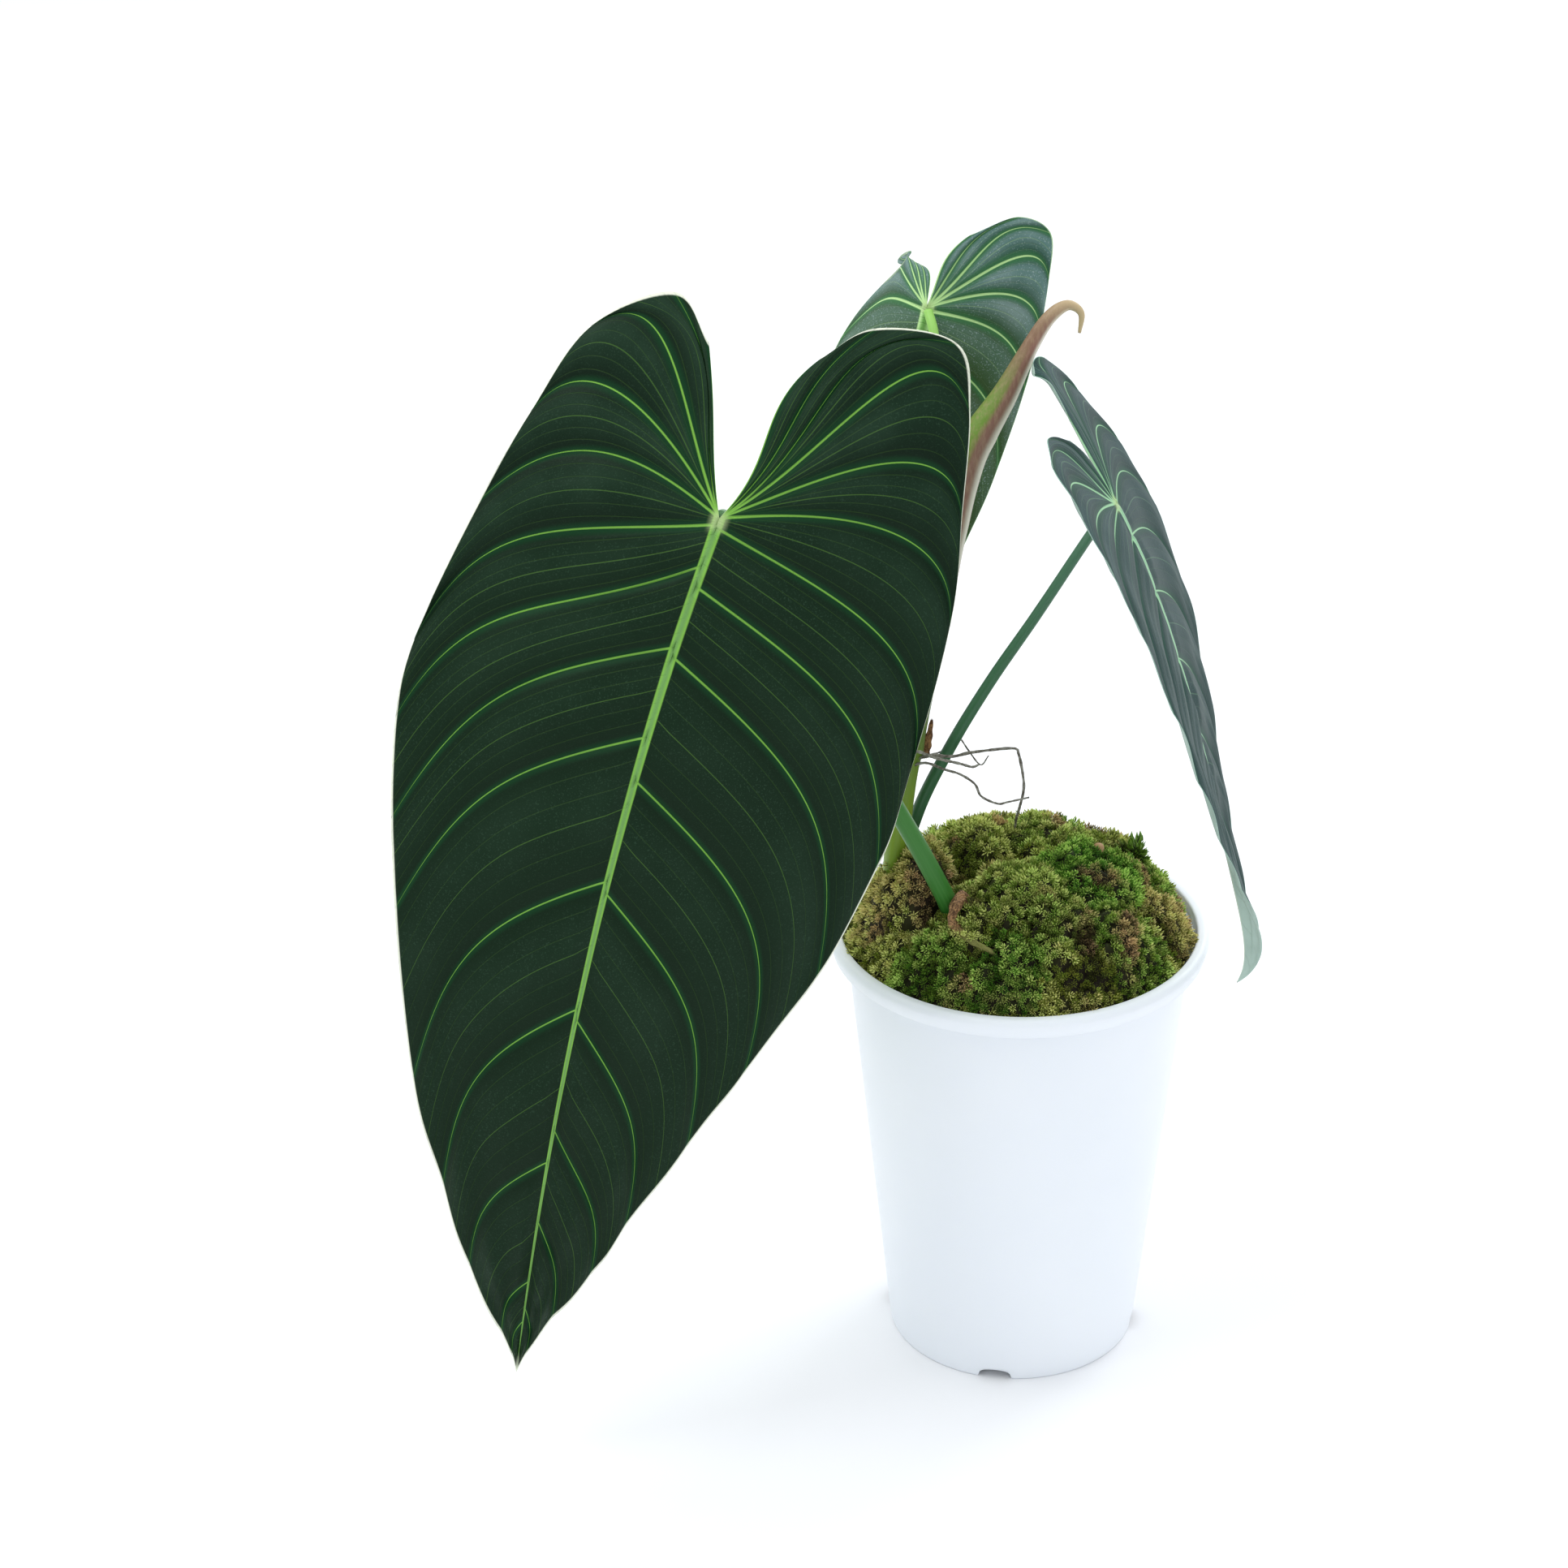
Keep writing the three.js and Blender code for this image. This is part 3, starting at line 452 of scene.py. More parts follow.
drill_mesh.from_pydata((drill_points / 1000).tolist(), [], drill_faces.tolist())
drill = bpy.data.objects.new("drain_drill", drill_mesh)
scene.collection.objects.link(drill)
cut = pot.modifiers.new("drain_holes", "BOOLEAN")
cut.object = drill
cut.operation = "DIFFERENCE"
cut.solver = "EXACT"
bpy.context.view_layer.update()
cut_mesh = bpy.data.meshes.new_from_object(pot.evaluated_get(bpy.context.evaluated_depsgraph_get()))
pot.modifiers.clear()
pot.data = cut_mesh
bpy.data.objects.remove(drill)
print("pot with drain holes:", len(pot.data.polygons), "faces")

# %% [markdown]
# ## Potting mix
#
# Under the moss the pot is full of damp mix. Almost nothing of it shows, so the CAD solid stays and
# gets the finish of composted bark: dark brown crumbs of 1 to 3 mm.

# %% Potting mix finish
compost, add = new_material("composted_bark_mix")
crumbs = add("TexNoise", add("TexCoord", out="Object"), 1000 / 2.2, 4, 0.7)
bark = {
    "Base Color": add("Mix", add("MapRange", crumbs, 0.35, 0.7), "#2a1c13", "#6b4c33"),
    "Roughness": 0.95,
    "Normal": add("Bump", {"Height": crumbs, "Distance": 1.2 / 1000}),
}
add("OutputMaterial", add("BsdfPrincipled", bark))
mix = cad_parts["potting_mix"]
mix.data.materials.clear()
mix.data.materials.append(compost)
print("potting mix:", len(mix.data.polygons), "faces of the CAD keep their shape")

# %% [markdown]
# ## Moss
#
# The real moss is a mound of cushions, each one thousands of upright shoots a few millimetres
# tall. A displaced sheet alone looks like painted clay, so it is made in two parts: a dense sheet
# that carries the cushions, nearly black as a painted shade of the hollows between them, and small
# star-shaped shoots that stand on it. All shoots are one array sum: a leaflet's four points,
# turned, bent and moved for every leaflet of every shoot at once.

# %% Mound shape
MOSS_RADIUS = 61.2
MOUND_EDGE, MOUND_RISE = 155, 29.5  # mm, height at the pot's wall, and from there to the middle
# Cushions of the mound: x, y, reach and rise in mm as in the CAD, then how green and how dry
CUSHIONS = np.array(
    [
        (-50, -20, 13, 6, 0.15, 0.1),
        (-31, -44, 15, 6, 0.75, 0.1),
        (-8, -48, 13, 6, 0.9, 0.1),
        (20, -48, 12, 6.5, 0.2, 0.2),
        (35, -35, 15, 6.5, 0.65, 0.05),
        (52, -9, 12, 5, 0.1, 0.6),
        (45, 8, 14, 6, 0.75, 0.2),
        (24, -6, 17, 7.5, 1.0, 0.0),
        (8, 14, 17, 7.5, 0.5, 0.2),
        (-16, 11, 15, 8.5, 0.3, 0.1),
        (-41, -10, 15, 19, 0.1, 0.55),
        (1, -22, 15, 6.5, 0.5, 0.15),
        (12, -36, 13, 5.5, 0.6, 0.25),
        (-16, -31, 14, 6.5, 0.4, 0.25),
        (34, 26, 15, 6, 0.4, 0.3),
        (12, 38, 15, 6, 0.8, 0.1),
        (-12, 37, 15, 6, 0.2, 0.2),
        (-34, 27, 15, 6, 0.6, 0.2),
        (-51, 6, 13, 6, 0.3, 0.4),
        (38, 44, 11, 5, 0.2, 0.5),
        (-32, 48, 11, 5, 0.5, 0.3),
        (5, 55, 12, 5, 0.3, 0.3),
    ]
)


def mound_height(reach):
    """Flat on top and steep at the edge: edge + rise (1 - (reach / radius) to the power 2.7)."""
    return MOUND_EDGE + MOUND_RISE * (1 - np.minimum(1, reach / WALL_TOP) ** 2.7)


def cushion_domes(x, y):
    """The height of each cushion over a place: half an ellipsoid about its centre."""
    away = np.hypot(x[..., None] - CUSHIONS[:, 0], y[..., None] - CUSHIONS[:, 1]) / CUSHIONS[:, 2]
    return CUSHIONS[:, 3] * np.sqrt(np.maximum(0, 1 - away**2))


def tuft_share(x, y):
    """0 in the gaps between tufts and 1 on top of them: tufts of 5 mm, and of 2 mm on these."""
    return np.clip(1.45 * (0.68 * patches(x, y, 5.5, 5) + 0.32 * patches(x, y, 2.3, 6)) - 0.22, 0, 1)


def moss_top(x, y):
    """The moss's mean surface: the mound, the highest cushion over it, lumps of 10 mm, and 5 mm
    from the gaps to the tops of the tufts."""
    wave = 2 * np.pi / 9.5
    lumps = np.sin(wave * x + 1.3 * np.sin(0.21 * y)) * np.sin(wave * y + 1.1 * np.sin(0.17 * x))
    tufts = 5.2 * (tuft_share(x, y) - 0.5)
    reach = np.hypot(x, y)
    edge = 1 - (np.minimum(reach, MOSS_RADIUS) / MOSS_RADIUS) ** 6 * 0.5
    return mound_height(reach) + 6 + edge * (cushion_domes(x, y).max(-1) + 1.1 * lumps + tufts)


def moss_kind(x, y):
    """How green and how dry the cushion on top is. Its border wanders by a few millimetres."""
    wander_x = x + 9 * (patches(x, y, 6, 41) - 0.5)
    wander_y = y + 9 * (patches(x, y, 6, 42) - 0.5)
    top = cushion_domes(wander_x, wander_y).argmax(-1)
    green, dry = CUSHIONS[top, 4], CUSHIONS[top, 5]
    spots = np.clip(4.5 * patches(x, y, 7, 31) - 3.1, 0, 1)
    return green, np.clip(0.75 * dry + spots, 0, 1)


def pulled_in(x, y):
    """The mound has shrunk away from the wall by up to 3 mm on its right side."""
    side = np.maximum(0, np.cos(np.arctan2(y, x) - 0.5)) ** 3
    share = 1 - 0.055 * side * np.minimum(1, np.hypot(x, y) / MOSS_RADIUS) ** 4
    return x * share, y * share


# %% [markdown]
# Living moss has leaflets one cell thick, full of water, so they are soft-lit and never glossy. A
# shoot is dark at its foot, where little light gets, and bright at its tip. Some cushions are olive
# and some leaf green, and dry ones turn the colour of straw. Three numbers kept in the mesh say
# how much of each, so the sheet and all shoots share one material.


# %% Moss finish
def moss_material(name):
    """The first number runs from a shoot's dark foot to its bright tip, a painted shade at the foot
    and in the gaps, with some random tone; green runs from olive to leaf green, and dryness from
    living to straw."""
    material, add = new_material(name)
    keys = ("shade_and_tone", "green", "dryness")
    shade_and_tone, green, dryness = (add("Attribute", attribute_name=key, out="Fac") for key in keys)
    middle = add("Mix", green, "#87902c", "#4c841c")
    bright = add("Mix", green, "#eceb95", "#b4df66")
    # Painted shade: a low first number turns living moss nearly black and straw dark brown, for the shaded
    # feet of the shoots and the gaps between tufts.
    living = add("Mix", add("MapRange", shade_and_tone, 0.0, 0.4), "#15170a", middle)
    living = add("Mix", add("MapRange", shade_and_tone, 0.4, 1.0), living, bright)
    straw = add("Mix", add("MapRange", shade_and_tone, 0.1, 0.9), "#35241a", "#c9a878")
    colour = add("Mix", dryness, living, straw)
    leaflet = {"Base Color": colour, "Roughness": 0.7, "Specular IOR Level": 0.3}
    add("OutputMaterial", add("BsdfPrincipled", leaflet))
    return material


moss_green = moss_material("cushion_moss")

# %% Moss bed
RINGS, SECTORS = 120, 340
INNER_SHARE = 58.4 / MOSS_RADIUS  # the bed's lower side, where the wall is narrower

reach = MOSS_RADIUS * np.linspace(0, 1, RINGS + 1)[:, None]
sector = 2 * np.pi * np.arange(SECTORS)[None, :] / SECTORS
flat_x, flat_y = reach * np.cos(sector), reach * np.sin(sector)
x, y = pulled_in(flat_x, flat_y)
upper = np.stack([x, y, moss_top(flat_x, flat_y) - 3.0], -1).reshape(-1, 3)
lower_height = mound_height(reach * INNER_SHARE) + 1.2 + 0 * x
lower = np.stack([x * INNER_SHARE, y * INNER_SHARE, lower_height], -1).reshape(-1, 3)
kept, faces = weld(upper, grid_faces(RINGS + 1, SECTORS, around=True))
points, faces = thick_sheet(upper[kept], lower[kept], faces)
green, dry = moss_kind(*points[:, :2].T)
# The bed's first number stays low: a painted shade for the hollows between the tufts.
values = {"shade_and_tone": 0.14 * tuft_share(*points[:, :2].T), "green": green, "dryness": 0.3 + 0.5 * dry}
make_piece("moss_bed", points, faces, moss_green, "moss", values)

# %% [markdown]
# A shoot seen from above is a small green star, because its leaflets stand in whorls around a
# short stem. Each leaflet is the simplest closed shape, four triangles between its foot, its two
# widest points and its tip, and a dozen or two of them are enough at this size.

# %% Moss shoots
GOLDEN_ANGLE = 2.39996  # radians, so that no two neighbours in a spiral line up
SPRIG_SPOT = (41, 15)  # mm, where a taller sprig stands
SPRIG_SHRINK = 22  # the sprig is the whole mound's spiral, this much smaller
# A pool of painted light: shoots near this spot, in the front leaf's shadow, are made brighter.
PAINTED_LIGHT_SPOT = (-51, -20)  # mm, the pale cushion in front of the stem


def shoot_places(count, seed, rng, sprig):
    """Shoot k stands at the golden-angle spiral's place k, moved by up to half a spacing."""
    k = np.arange(count)
    reach = (MOSS_RADIUS - 0.8) * np.sqrt((k + 0.5) / count)
    angle = k * GOLDEN_ANGLE + seed
    spacing = MOSS_RADIUS * np.sqrt(np.pi / count)
    x = reach * np.cos(angle) + spacing * (rng.random(count) - 0.5)
    y = reach * np.sin(angle) + spacing * (rng.random(count) - 0.5)
    short = np.minimum(1, (MOSS_RADIUS - 0.9) / np.hypot(x, y))
    x, y = x * short, y * short
    return (SPRIG_SPOT[0] + x / SPRIG_SHRINK, SPRIG_SPOT[1] + y / SPRIG_SHRINK) if sprig else (x, y)


def shoot_axes(x, y, rng):
    """Unit directions of each shoot: up from the moss, with a random tilt, and two across it."""
    step = 1.2
    slope_x = (moss_top(x + step, y) - moss_top(x - step, y)) / (2 * step)
    slope_y = (moss_top(x, y + step) - moss_top(x, y - step)) / (2 * step)
    up = np.stack([-slope_x, -slope_y, np.ones(len(x))], 1)
    up = unit(up + 0.7 * (rng.random((len(x), 3)) - 0.5))
    side = unit(np.cross(up, [0.3, 0.9, 0.1]))
    return up, side, np.cross(up, side)


def leaflet_corners(foot, axes, size, bearing, share):
    """Foot, two widest points and tip of each leaflet. It leaves the stem at a height that grows
    with share, 0 to 1 from the lowest to the highest, and bends from outward to upright."""
    up, side, other = (axis[:, None] for axis in axes)
    out = np.cos(bearing) * side + np.sin(bearing) * other
    across = np.cos(bearing) * other - np.sin(bearing) * side
    start = foot + up * size * (0.3 + 0.5 * share)
    length = size * (0.62 - 0.2 * share)
    middle = start + length * (0.55 * out + (0.3 + 0.4 * share) * up)
    tip = start + length * ((0.95 - 0.6 * share) * out + (0.45 + 0.75 * share) * up)
    half = 0.052 * size * across
    return np.stack([start + 0 * tip, middle - half, tip, middle + half], 2)


def shoots(count, seed, leaflets=14, sprig=False):
    """Stars on the mound, or a sprig of tall ones on one spot. Shoots on top of a tuft are larger
    than those in its gaps, and brighter: the gaps get a painted shade."""
    rng = np.random.default_rng(seed)
    x, y = shoot_places(count, seed, rng, sprig)
    axes = shoot_axes(x, y, rng)
    tuft = tuft_share(x, y)
    size = (2.2 + 1.4 * tuft + 1.6 * rng.random(count) ** 2)[:, None, None] * (2 if sprig else 1)
    foot = np.stack([*pulled_in(x, y), moss_top(x, y) - 3.4], 1)[:, None]
    m = np.arange(leaflets)[None, :, None]
    share = (m + 0.5) / leaflets
    bearing = m * GOLDEN_ANGLE + (rng.random(count) * 6.28)[:, None, None]
    points = leaflet_corners(foot, axes, size, bearing, share)

    flat = 0 * share
    # Painted shade: each leaflet is dark at its foot and bright at its tip, and shoots in the gaps between
    # tufts are darker.
    shade_and_tone = np.stack([0.1 + flat, 0.5 + flat, 0.85 + 0.3 * share, 0.5 + flat], 2)
    # Painted light: shoots on the cushion in front of the stem are brightened, to undo the front leaf's
    # shadow on them.
    pale = 1 + 0.6 * np.exp(-((x - PAINTED_LIGHT_SPOT[0]) ** 2 + (y - PAINTED_LIGHT_SPOT[1]) ** 2) / 15**2)
    shade_and_tone = shade_and_tone * ((0.2 + 1.3 * tuft) * (0.4 if sprig else pale))[:, None, None, None]
    shade_and_tone = shade_and_tone * (0.5 + 1.0 * rng.random(count))[:, None, None, None] + 0 * points[..., :1]
    green, dry = moss_kind(x, y)
    green = np.clip(green + 0.35 * (rng.random(count) - 0.5), 0, 1)
    dry = np.clip(dry + 0.5 * (rng.random(count) - 0.62), 0, 1)
    green, dry = (np.repeat(kind, leaflets * 4) for kind in (green, dry))
    corner = np.array([[0, 1, 2], [0, 2, 3], [0, 3, 1], [1, 3, 2]])
    faces = np.arange(count * leaflets)[:, None, None] * 4 + corner
    return points.reshape(-1, 3), faces.reshape(-1, 3), {"shade_and_tone": shade_and_tone, "green": green, "dryness": dry}


for name, made in (
    ("moss_sprig", shoots(16, 5, 22, sprig=True)),
    ("moss_shoots_a", shoots(2900, 1)),
    ("moss_shoots_b", shoots(2900, 2)),
    ("moss_shoots_c", shoots(2900, 3)),
):
    points, faces, values = made
    make_piece(name, points, faces, moss_green, values=values, smooth=False)

# %% [markdown]
# ## Leaf blades
#
# A leaf of this plant is a heart whose side veins leave the midrib and sweep towards the tip. The
# tissue swells between the veins, so the blade looks quilted. That suits a surface of two
# parameters: v counts the side veins from the bay at the stalk to the tip, and u runs along a vein
# from the midrib to the margin. A short table holds, for each vein, where it starts on the midrib,
# where it ends along the midrib and out from it, and its direction at both ends in degrees from
# the way to the tip. The same numbers are in the CAD source.

# %% Vein tables
OLD_RIGHT_VEINS = [
    [0, -60, 11, 156, 150],
    [0, -76, 23, 151, 148],
    [0, -83, 49, 143, 102],
    [0, -64, 62, 137, 42],
    [0, -28, 74, 131, 24],
    [0, 10, 84, 115, 14],
    [3, 66, 88, 79, 3],
    [23, 104, 87, 72, 10],
    [47, 149, 77, 65, 3],
    [90, 190, 60, 59, -3],
    [130, 222, 46, 50, 0],
    [177, 258, 30, 40, -2],
    [220, 280, 21, 30, -2],
    [258, 300, 10, 26, 0],
    [296, 317, 2.6, 22, -2],
    [326, 326, 0, 10, 10],
]
OLD_LEFT_VEINS = [
    [0, -50, 24, 152, 150],
    [0, -60, 41, 145, 122],
    [0, -40, 62, 138, 36],
    [0, -9, 70, 131, 18],
    [0, 22, 76, 110, 28],
    [2, 70, 83, 66, 12],
    [16, 95, 82, 50, 16],
    [44, 127, 75, 62, 18],
    [75, 156, 67, 60, 17],
    [126, 214, 50, 57, 4],
    [173, 252, 34, 50, -1],
    [233, 283, 21, 48, -2],
    [284, 309, 7, 42, 0],
    [302, 318, 2.4, 30, -2],
    [326, 326, 0, 10, 10],
]
YOUNG_VEINS = [
    [0, -27, 8, 172, 138],
    [0, -37, 23, 158, 120],
    [0, -34, 36, 140, 80],
    [0, -18, 40, 131, 25],
    [0, 1, 42, 119, 20],
    [1, 23, 42, 92, 18],
    [12, 54, 39, 68, 10],
    [33, 84, 33, 60, 6],
    [58, 111, 26, 54, 3],
    [85, 135, 18, 48, 0],
    [114, 156, 10, 40, 0],
    [182, 182, 0, 10, 10],
]
VEIN_REACH = 0.46


def flat_place(half, scale, v, u):
    """The flat blade, along and across, in mm: a cubic curve for each vein, from its start on the
    midrib to its end on the margin, that keeps its direction for 0.46 of its length at both ends."""
    start, end, out, leaving, arriving = np.moveaxis(smooth_rows(half["veins"], v), -1, 0)
    leaving, arriving = np.radians(leaving), np.radians(arriving)
    reach = VEIN_REACH * np.hypot(end - start, out)
    w0, w1, w2, w3 = (1 - u) ** 3, 3 * u * (1 - u) ** 2, 3 * u * u * (1 - u), u**3
    along = w0 * start + w1 * (start + reach * np.cos(leaving))
    along = along + w2 * (end - reach * np.cos(arriving)) + w3 * end
    across = w1 * reach * np.sin(leaving) + w2 * (out - reach * np.sin(arriving)) + w3 * out
    return along * scale, across * scale


# %% [markdown]
# A leaf's posture bends that flat sheet. The midrib is a curve in space whose direction turns by
# a few degrees along its length, and each half is an arc across it. Where a lobe curls up or back,
# or where the tip folds, one more angle is added there. Lists of several numbers are polynomials
# in the share of the way to the tip, and all angles are in degrees. quilt and ruffle are the
# heights in mm of the pillows and of the wave along the margin.

# %% Postures
FRONT_LEAF = dict(
    junction=(-102.3, -65, 352.3), length=326, scale=1, half_width=90, facing=0,
    hang=(18, -26), lean=(-21, 19, -6), twist=(0,),
    left=dict(veins=OLD_LEFT_VEINS, fold=(-6,), curl=(-14,)),
    right=dict(veins=OLD_RIGHT_VEINS, fold=(-4,), curl=(-12,)),
    quilt=3, ruffle=1.2,
)
RIGHT_LEAF = dict(
    junction=(27.3, -32, 341.3), length=190, scale=1.045, half_width=48, facing=84,
    hang=(26, -36, 26), lean=(3, -3), twist=(0, -2, -11),
    tip_hang=(-50, 20),
    left=dict(veins=YOUNG_VEINS, fold=(-4.5,), tip_fold=(80, 8), curl=(6,), wide=1.15, lobe=1.12),
    right=dict(
        veins=YOUNG_VEINS, fold=(-3, 19, -16), tip_fold=(42, 7), curl=(4, 10), wide=1.15, lobe=1.18,
        roll=(-40, -18),
    ),
    quilt=1.9, ruffle=0.5,
)
BACK_LEAF = dict(
    junction=(-32.8, 34, 384.7), length=182, scale=1, half_width=42, facing=0,
    hang=(10, -20), lean=(-14, 8), twist=(0,),
    left=dict(
        veins=YOUNG_VEINS, fold=(-42, 60, -40), curl=(-60, 300, -500, 250), wide=0.86, lobe=0.76,
        roll=(0, -5.2),
    ),
    right=dict(veins=YOUNG_VEINS, fold=(-8,), curl=(-15,)),
    quilt=1.9, ruffle=0.5,
)


# %% The midrib in space
def polynomial(numbers, q):
    """The first number, plus the second times q, plus the third times q squared, and so on."""
    return sum(number * q**power for power, number in enumerate(numbers))


def near_tip(pair, q):
    """amount times q to a high power: nothing over most of the leaf, all of it at the tip."""
    amount, power = pair
    return amount * np.maximum(q, 0) ** power


def midrib_frame(leaf, s):
    """Unit directions at the distance s along the midrib: to the tip, to the right across the
    blade, and out of its upper side. hang turns the tip's direction outward from straight down,
    lean turns it sideways, and twist turns the other two about it."""
    q = s / leaf["length"]
    hang = polynomial(leaf["hang"], q) + near_tip(leaf.get("tip_hang", (0, 1)), q)
    angles = (hang, polynomial(leaf["lean"], q), polynomial(leaf["twist"], q))
    hang, lean, twist = (np.radians(angle + 0 * q)[..., None] for angle in angles)
    facing = np.radians(leaf["facing"])
    out = np.array([np.sin(facing), -np.cos(facing), 0])
    side = np.array([np.cos(facing), np.sin(facing), 0])
    up = np.array([0, 0, 1])
    tip = (out * np.sin(hang) - up * np.cos(hang)) * np.cos(lean) + side * np.sin(lean)
    face = out * np.cos(hang) + up * np.sin(hang)
    across = np.cross(face, tip)
    right = across * np.cos(twist) + face * np.sin(twist)
    return tip, right, face * np.cos(twist) - across * np.sin(twist)


GAUSS_PLACES = (0.04691, 0.230765, 0.5, 0.769235, 0.95309)
GAUSS_WEIGHTS = (0.118463, 0.239314, 0.284444, 0.239314, 0.118463)


def midrib_point(leaf, s):
    """The junction plus the sum of the tip direction from 0 to s, by five-point Gauss weights."""
    stations = zip(GAUSS_PLACES, GAUSS_WEIGHTS)
    steps = (weight * s[..., None] * midrib_frame(leaf, s * place)[0] for place, weight in stations)
    return np.array(leaf["junction"]) + sum(steps)


def blade_point(leaf, sign, along, across, height):
    """Bends the flat place into space. The half is an arc: its slope is fold at the midrib and
    changes evenly to the margin by curl. wide stretches it across, and lobe stretches the part
    above the stalk. Beyond the roll's start the lobe follows a circle."""
    half = leaf["left"] if sign < 0 else leaf["right"]
    across = across * half.get("wide", 1)
    s = np.where(along < 0, along * half.get("lobe", 1), along)
    if "roll" in half:
        start, rate = half["roll"][0], np.radians(half["roll"][1])
        turn = rate * np.maximum(start - s, 0)
        height = height + (1 - np.cos(turn)) / rate
        s = np.where(s < start, start - np.sin(turn) / rate, s)
    q = s / leaf["length"]
    fold = np.radians(polynomial(half["fold"], q) + near_tip(half.get("tip_fold", (0, 1)), q))
    bend = np.radians(polynomial(half["curl"], q)) / leaf["half_width"]
    sideways = (np.sin(fold + bend * across) - np.sin(fold)) / bend
    height = height + (np.cos(fold) - np.cos(fold + bend * across)) / bend
    _, right, face = midrib_frame(leaf, s)
    return midrib_point(leaf, s) + sign * sideways[..., None] * right + height[..., None] * face


# %% [markdown]
# Both halves must meet on the midrib, although their veins start at different places. So the rows
# past the junction are set at common distances along the midrib, and each half looks up which
# vein number starts there. Each point also keeps what the finish needs: its distance in
# millimetres to the midrib and to the margin, its vein number, and how far the veins are apart.

# %% Blade surface
RIB_WIDTH = 2.5  # mm, half the midrib of the large leaf
LARGE_LEAF = 326  # mm, the length that the thickness of ribs goes by


def row_numbers(half, scale, stations):
    """Vein numbers of a half's rows: sixteen a vein through the lobe, then where the start of a
    vein, as a smooth function of its number, equals each station on the midrib."""
    last = len(half["veins"]) - 1
    fine = np.linspace(0, last, 4001)
    starts = np.maximum.accumulate(smooth_rows(half["veins"], fine)[:, 0] * scale)
    first_free = fine[np.searchsorted(starts, stations[0])]
    return np.concatenate([np.arange(0, first_free - 0.03, 1 / 16), np.interp(stations, starts, fine)])


def blade_relief(leaf, half, v, u):
    """Height above the mean blade, in mm: a pillow between each vein and the next, as the sine of
    pi times v to the power 0.8, swollen here and there along it, three low folds on each, and a
    slow wave at the margin. Also the veins' spacing."""
    last = len(half["veins"]) - 1
    before = flat_place(half, leaf["scale"], np.maximum(v - 0.5, 0), u)
    after = flat_place(half, leaf["scale"], np.minimum(v + 0.5, last), u)
    spacing = np.hypot(before[0] - after[0], before[1] - after[1])
    room = np.minimum(1, spacing / 30)
    pillow = np.abs(np.sin(np.pi * v)) ** 0.8 * (1 - 0.55 * u**3)
    pillow = pillow * (0.78 + 0.22 * np.sin(11 * u + 2.4 * np.floor(v)))
    minor = 0.16 * np.abs(np.sin(3 * np.pi * v)) * (1 - u**2)
    wave = np.sin(1.7 * np.pi * v + last + 1) * u**4 * np.sin(np.pi * v / last)
    return leaf["quilt"] * room * (pillow + minor) + leaf["ruffle"] * wave, spacing


def blade_half(leaf, sign, stations, shares):
    """Upper and lower points of one half, with the numbers that the finish needs. Rows: vein
    numbers. Columns: shares of the way from midrib to margin."""
    half = leaf["left"] if sign < 0 else leaf["right"]
    v, u = np.meshgrid(row_numbers(half, leaf["scale"], stations), shares, indexing="ij")
    along, across = flat_place(half, leaf["scale"], v, u)
    start, end = (flat_place(half, leaf["scale"], v, 0 * u + place) for place in (0, 1))
    length = np.hypot(end[0] - start[0], end[1] - start[1])
    from_rib, edge = length * u, length * (1 - u)
    relief, spacing = blade_relief(leaf, half, v, u)
    size = (leaf["length"] / LARGE_LEAF) ** 0.6
    left_to_go = np.clip(1 - start[0] / leaf["length"], 0, 1)
    rib = np.maximum(0, 1 - (from_rib / (RIB_WIDTH * size * (0.25 + 0.75 * left_to_go))) ** 2)
    vein = np.exp(-(((v - np.round(v)) * spacing / (1.2 * size)) ** 2)) * (1 - u) ** 0.5
    relief = relief * np.minimum(1, from_rib / 5) + size * left_to_go * (0.6 * rib - 0.5 * vein)
    thick = 0.5 * np.minimum(1, 0.35 + edge / 2.5)
    ridge = size * left_to_go * (2.4 * rib + 0.9 * vein * (1 - u) ** 0.5)
    upper = blade_point(leaf, sign, along, across, relief)
    lower = blade_point(leaf, sign, along, across, relief - thick - ridge)
    values = dict(row=v, spacing=spacing, rib=from_rib, edge=edge, share=u, rank=left_to_go)
    return upper, lower, values


def blade_mesh(leaf, spacing_mm, columns):
    """Both halves as one closed sheet. Doubled points at the junction, along the midrib and at
    the tip are welded before the sheet gets its thickness. A row stands on each vein's start."""
    count = int(leaf["length"] / spacing_mm)
    stations = leaf["length"] * np.arange(1, count + 1) / count
    starts = [row[0] * leaf["scale"] for side in ("left", "right") for row in leaf[side]["veins"]]
    stations = np.concatenate([[0.4], stations, [s for s in starts if s > 0.4]])
    stations = np.unique(np.round(stations, 3))
    stations = stations[stations <= leaf["length"]]
    shares = np.linspace(0, 1, columns) ** 1.15
    shares = np.concatenate([[0, 0.012, 0.024, 0.036], shares[shares > 0.04]])
    halves = [blade_half(leaf, sign, stations, shares) for sign in (-1, 1)]
    left, right = (grid_faces(*upper.shape[:2]) for upper, _, _ in halves)
    faces = np.concatenate([left, right[:, ::-1] + halves[0][0].size // 3])
    upper, lower = (np.concatenate([half[side].reshape(-1, 3) for half in halves]) for side in (0, 1))
    kept, faces = weld(upper, faces)
    points, faces = thick_sheet(upper[kept], lower[kept], faces)
    values = {}
    for key in halves[0][2]:
        numbers = np.concatenate([half[2][key].ravel() for half in halves])[kept]
        values[key] = np.concatenate([numbers, numbers])
    values["under"] = np.repeat([0.0, 1.0], len(kept))
    return points, faces, values


